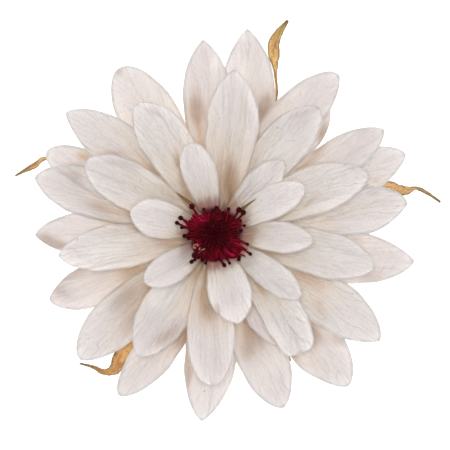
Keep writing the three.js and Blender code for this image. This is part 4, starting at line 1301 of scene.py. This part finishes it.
class FlowerCalyxSettings(bpy.types.PropertyGroup):
    """Sizes and colours of the sepals and the cup"""

    thickness: size_property("Thickness", "Thickness of a sepal along its middle", 0.00045)
    fibre_height: relief_property("Fibre Height", "Height in millimetres of the sepals' wrinkles", 0.3)
    rib_height: relief_property("Rib Height", "Height in millimetres of the ribs of the cup", 0.16)
    steps_across: count_property("Steps Across", "Mesh steps across a sepal", 14, 2, 24)
    steps_along: count_property("Steps Along", "Mesh steps along a sepal", 110, 16, 200)
    ochre_colour: colour_property("Ochre", "Main colour", (0.66, 0.39, 0.14))
    light_colour: colour_property("Light", "Colour of the pale fibres", (0.82, 0.59, 0.29))
    yellow_colour: colour_property("Yellow", "Tint of the upper sepal", (0.72, 0.49, 0.13))
    olive_colour: colour_property("Olive", "Tint of the outer ends", (0.52, 0.42, 0.16))
    rust_colour: colour_property("Rust", "Tint of the lower sepals", (0.52, 0.23, 0.055))
    brown_colour: colour_property("Brown", "Colour of the darker patches", (0.42, 0.20, 0.06))
    spot_colour: colour_property("Spots", "Colour of the rusty spots", (0.36, 0.12, 0.03))
    edge_colour: colour_property("Edge", "Colour of the dark edges and tips", (0.16, 0.11, 0.055))
    cup_colour: colour_property("Cup", "Colour of the cup's dry skin", (0.40, 0.28, 0.12))
    cup_shade_colour: colour_property("Cup Shade", "Colour between the ribs of the cup", (0.17, 0.105, 0.045))
    cut_colour: colour_property("Cut", "Colour of the cut base", (0.50, 0.37, 0.20))
    pith_colour: colour_property("Pith", "Colour of the pith in the cut base", (0.62, 0.52, 0.36))


class FlowerStageSettings(bpy.types.PropertyGroup):
    """Floor, lights and camera"""

    floor_size: size_property("Floor Size", "Side of the floor", 4.0, 0.5, 20)
    floor_colour: colour_property("Floor", "Colour of the floor", (0.93, 0.93, 0.93))
    floor_glow: share_property("Floor Glow", "Light that the floor gives off by itself", 0.62)
    camera_distance: size_property("Camera Distance", "Height of the camera over the flower", 1.4, 0.2, 5)
    sky_strength: share_property("Sky", "Strength of the light from all round", 0.15, 5)
    key_power: share_property("Key Light", "Power of the large soft light at the upper left, in watts", 1.0, 100)
    backdrop_glow: share_property("Backdrop Glow", "Light that the backdrop gives off by itself", 0.9)
    top_power: share_property("Top Light", "Power of the soft light straight above, in watts", 19.4, 100)


# Stage

def add_soft_light(name, place, size, power):
    """A round area light that points at the flower."""
    light = bpy.data.lights.new(name, "AREA")
    light.shape = "DISK"
    light.size = size
    light.energy = power
    lamp = bpy.data.objects.new(name, light)
    lamp.location = place
    lamp.rotation_euler = (Vector((0, 0, FOCUS_HEIGHT)) - lamp.location).to_track_quat("-Z", "Y").to_euler()
    bpy.context.scene.collection.objects.link(lamp)


def paper_sheet(name, points, faces, colour, glow):
    """A piece of plain paper that gives off some light by itself."""
    mesh = bpy.data.meshes.new(name)
    mesh.from_pydata(points, [], faces)
    nodes = Nodes(name + "_paper")
    mesh.materials.append(nodes.finish(
        colour, 0.8, specular_ior_level=0.1, emission_color=(1, 1, 1, 1), emission_strength=glow
    ))
    sheet = bpy.data.objects.new(name, mesh)
    bpy.context.scene.collection.objects.link(sheet)
    return sheet


def add_backdrop(radius, settings):
    """A plain pale wall round the floor, so that low views look at paper and not into the dark."""
    points, faces = [], []
    for k in range(BACKDROP_SIDES):
        angle = 2 * math.pi * k / BACKDROP_SIDES
        x, y = radius * math.cos(angle), radius * math.sin(angle)
        points += [(x, y, BACKDROP_FOOT), (x, y, BACKDROP_RISE * radius)]
        low, after = 2 * k, 2 * ((k + 1) % BACKDROP_SIDES)
        faces.append((low, low + 1, after + 1, after))
    backdrop = paper_sheet("backdrop", points, faces, settings.floor_colour, settings.backdrop_glow)
    backdrop.data.shade_smooth()


# Operators

class FLOWER_OT_add_petals(bpy.types.Operator):
    """Add the three rings of petals"""

    bl_idname = "flower.add_petals"
    bl_label = "Petals"

    def execute(self, context):
        settings = context.scene.flower_petals
        for ring_name in RINGS:
            points, faces, attributes = build_petals(settings, ring_name)
            material = petal_material(settings, ring_name)
            add_piece("petals_" + ring_name, points, faces, material, attributes, "petals")
        return {"FINISHED"}


class FLOWER_OT_add_receptacle(bpy.types.Operator):
    """Add the small disc that the petals grow from"""

    bl_idname = "flower.add_receptacle"
    bl_label = "Receptacle"

    def execute(self, context):
        points, faces = turned(refined(RECEPTACLE_PROFILE, 4), 64)
        material = receptacle_material(context.scene.flower_petals)
        add_piece("receptacle", points, faces, material, (), "petals")
        return {"FINISHED"}


class FLOWER_OT_add_stamens(bpy.types.Operator):
    """Add the burgundy eye: its cushion, filaments and anthers"""

    bl_idname = "flower.add_stamens"
    bl_label = "Stamens"

    def execute(self, context):
        settings = context.scene.flower_stamens
        threads = ([], [], [])
        sacs = ([], [], [])
        radius = settings.filament_radius / MM
        for path, tone, knob in stamen_paths(settings):
            last = len(path) - 1
            thick = 1.5 if knob > 0.8 else 1
            radii = [radius * thick * lerp(1.15, 0.8, k / last) for k in range(last + 1)]
            add_tube(*threads, path, radii, tone)
            if knob:
                axis = (path[-1] - path[-2]).normalized()
                length = settings.anther_length / MM * knob
                add_anther(*sacs, path[-1] + axis * 0.2, axis, length, settings.anther_radius / MM * knob, tone)
        for path in curled_paths(settings):
            add_tube(*threads, path, [0.8 * radius] * len(path), 2)
        for name, (points, faces, tones), material in (
            ("stamen_filaments", threads, filament_material(settings)),
            ("stamen_anthers", sacs, anther_material(settings)),
        ):
            attributes = (("tone", tones),)
            add_piece(name, points, faces, material, attributes, "stamens", THREAD_SHARP_ANGLE)
        points, faces, tones = mat_points()
        material = mat_material(settings)
        add_piece("stamen_mat", points, faces, material, (("tone", tones),), "stamens")
        profile = [(reach, EYE_FOOT - CUSHION_SINK + z) for reach, z in CUSHION_PROFILE]
        points, faces = turned(refined(profile, 5), 72)
        rough = []
        for x, y, z in points:
            lump = 0.35 * noise.noise(Vector((x, y, z)) * 1.3) * smooth_step(EYE_FOOT, EYE_FOOT + 1, z)
            rough.append((x * (1 + lump / 6), y * (1 + lump / 6), z + lump))
        tones = [(0.1, 0, 0)] * len(rough)
        add_piece(
            "stamen_cushion", rough, faces, anther_material(settings), (("tone", tones),), "stamens"
        )
        return {"FINISHED"}


class FLOWER_OT_add_dry_strip(bpy.types.Operator):
    """Add the two small golden strips between inner petals, partly painted shadow of the gaps there"""

    bl_idname = "flower.add_dry_strip"
    bl_label = "Dry Strips"

    def execute(self, context):
        settings = context.scene.flower_stamens
        foot = Vector((0, 0, EYE_FOOT))
        blades = []
        for root, tip, full_width in DRY_STRIPS_AND_GAP_SHADOWS:
            root, tip = Vector(root) + foot, Vector(tip) + foot
            side = Vector((0, 0, 1)).cross(tip - root).normalized()
            blade = []
            for j in range(STRIP_STEPS_ALONG + 1):
                along = j / STRIP_STEPS_ALONG
                width = full_width * (1 - along) ** 0.8 * smooth_step(-0.3, 0.25, along)
                for i in range(STRIP_STEPS_ACROSS + 1):
                    across = 2 * i / STRIP_STEPS_ACROSS - 1
                    lift = 0.25 * across**2 + 0.15 * math.sin(7 * along)
                    point = root.lerp(tip, along) + side * across * width / 2 + Vector((0, 0, lift))
                    blade.append((point, point - Vector((0, 0, STRIP_THICKNESS)), (along, across, 0)))
            blades.append(blade)
        points, faces, attributes = closed_blades(blades, STRIP_STEPS_ACROSS + 1, ("blade",))
        add_piece("dry_strip_and_gap_shadow", points, faces, strip_material(settings), attributes, "stamens")
        return {"FINISHED"}


class FLOWER_OT_add_sepals(bpy.types.Operator):
    """Add the five dry, twisted sepals"""

    bl_idname = "flower.add_sepals"
    bl_label = "Sepals"

    def execute(self, context):
        settings = context.scene.flower_calyx
        points, faces, attributes = build_sepals(settings)
        add_piece("sepals", points, faces, sepal_material(settings), attributes, "calyx")
        return {"FINISHED"}


class FLOWER_OT_add_cup(bpy.types.Operator):
    """Add the calyx cup under the petals, cut flat below"""

    bl_idname = "flower.add_cup"
    bl_label = "Calyx Cup"

    def execute(self, context):
        settings = context.scene.flower_calyx
        points, faces = cup_points(settings)
        add_piece("calyx_cup", points, faces, cup_material(settings), (), "calyx")
        return {"FINISHED"}


class FLOWER_OT_add_stage(bpy.types.Operator):
    """Add the floor, the lights and the camera straight above"""

    bl_idname = "flower.add_stage"
    bl_label = "Stage"

    def execute(self, context):
        settings = context.scene.flower_stage
        scene = context.scene
        half = settings.floor_size / 2
        corners = [(-half, -half, 0), (half, -half, 0), (half, half, 0), (-half, half, 0)]
        floor = paper_sheet("floor", corners, [(0, 1, 2, 3)], settings.floor_colour, settings.floor_glow)
        add_backdrop(half, settings)

        world = bpy.data.worlds.new("soft_studio")
        world.use_nodes = True
        background = next(n for n in world.node_tree.nodes if n.type == "BACKGROUND")
        background.inputs["Color"].default_value = (1, 1, 1, 1)
        background.inputs["Strength"].default_value = settings.sky_strength
        scene.world = world

        add_soft_light("key_light", KEY_LIGHT_PLACE, KEY_LIGHT_SIZE, settings.key_power)
        add_soft_light("top_light", TOP_LIGHT_PLACE, TOP_LIGHT_SIZE, settings.top_power)

        middle = PHOTO_PIXELS / 2
        centre = [(middle - AXIS_PIXEL[0]) * MM_PER_PIXEL, (AXIS_PIXEL[1] - middle) * MM_PER_PIXEL]
        camera = bpy.data.cameras.new("camera")
        camera.sensor_width = 36
        camera.lens = camera.sensor_width * settings.camera_distance / (PHOTO_PIXELS * MM_PER_PIXEL * MM)
        camera_object = bpy.data.objects.new("camera", camera)
        petal_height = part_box("petals")[0][2] + FLAT_PETAL_HEIGHT
        camera_object.location = (centre[0] * MM, centre[1] * MM, petal_height + settings.camera_distance)
        scene.collection.objects.link(camera_object)
        scene.camera = camera_object
        scene.view_settings.view_transform = "Standard"
        return {"FINISHED"}


class FLOWER_PT_panel(bpy.types.Panel):
    """Lists the pieces of the flower and their settings"""

    bl_idname = "FLOWER_PT_panel"
    bl_label = "Dahlia Flower"
    bl_space_type = "VIEW_3D"
    bl_region_type = "UI"
    bl_category = "Flower"

    def draw(self, context):
        layout = self.layout
        for operator in OPERATORS:
            layout.operator(operator.bl_idname)
        for name in SETTINGS:
            box = layout.box()
            group = getattr(context.scene, name)
            for key in group.__annotations__:
                box.prop(group, key)


SETTINGS = {
    "flower_petals": FlowerPetalSettings,
    "flower_stamens": FlowerStamenSettings,
    "flower_calyx": FlowerCalyxSettings,
    "flower_stage": FlowerStageSettings,
}
OPERATORS = (
    FLOWER_OT_add_petals,
    FLOWER_OT_add_receptacle,
    FLOWER_OT_add_stamens,
    FLOWER_OT_add_dry_strip,
    FLOWER_OT_add_sepals,
    FLOWER_OT_add_cup,
    FLOWER_OT_add_stage,
)


def register():
    for group in SETTINGS.values():
        bpy.utils.register_class(group)
    for name, group in SETTINGS.items():
        setattr(bpy.types.Scene, name, bpy.props.PointerProperty(type=group))
    for operator in OPERATORS:
        bpy.utils.register_class(operator)
    bpy.utils.register_class(FLOWER_PT_panel)


def unregister():
    bpy.utils.unregister_class(FLOWER_PT_panel)
    for operator in reversed(OPERATORS):
        bpy.utils.unregister_class(operator)
    for name, group in reversed(SETTINGS.items()):
        delattr(bpy.types.Scene, name)
        bpy.utils.unregister_class(group)


def main():
    register()
    bpy.ops.flower.add_petals()
    bpy.ops.flower.add_receptacle()
    bpy.ops.flower.add_stamens()
    bpy.ops.flower.add_dry_strip()
    bpy.ops.flower.add_sepals()
    bpy.ops.flower.add_cup()
    bpy.ops.flower.add_stage()


if __name__ == "__main__":
    main()
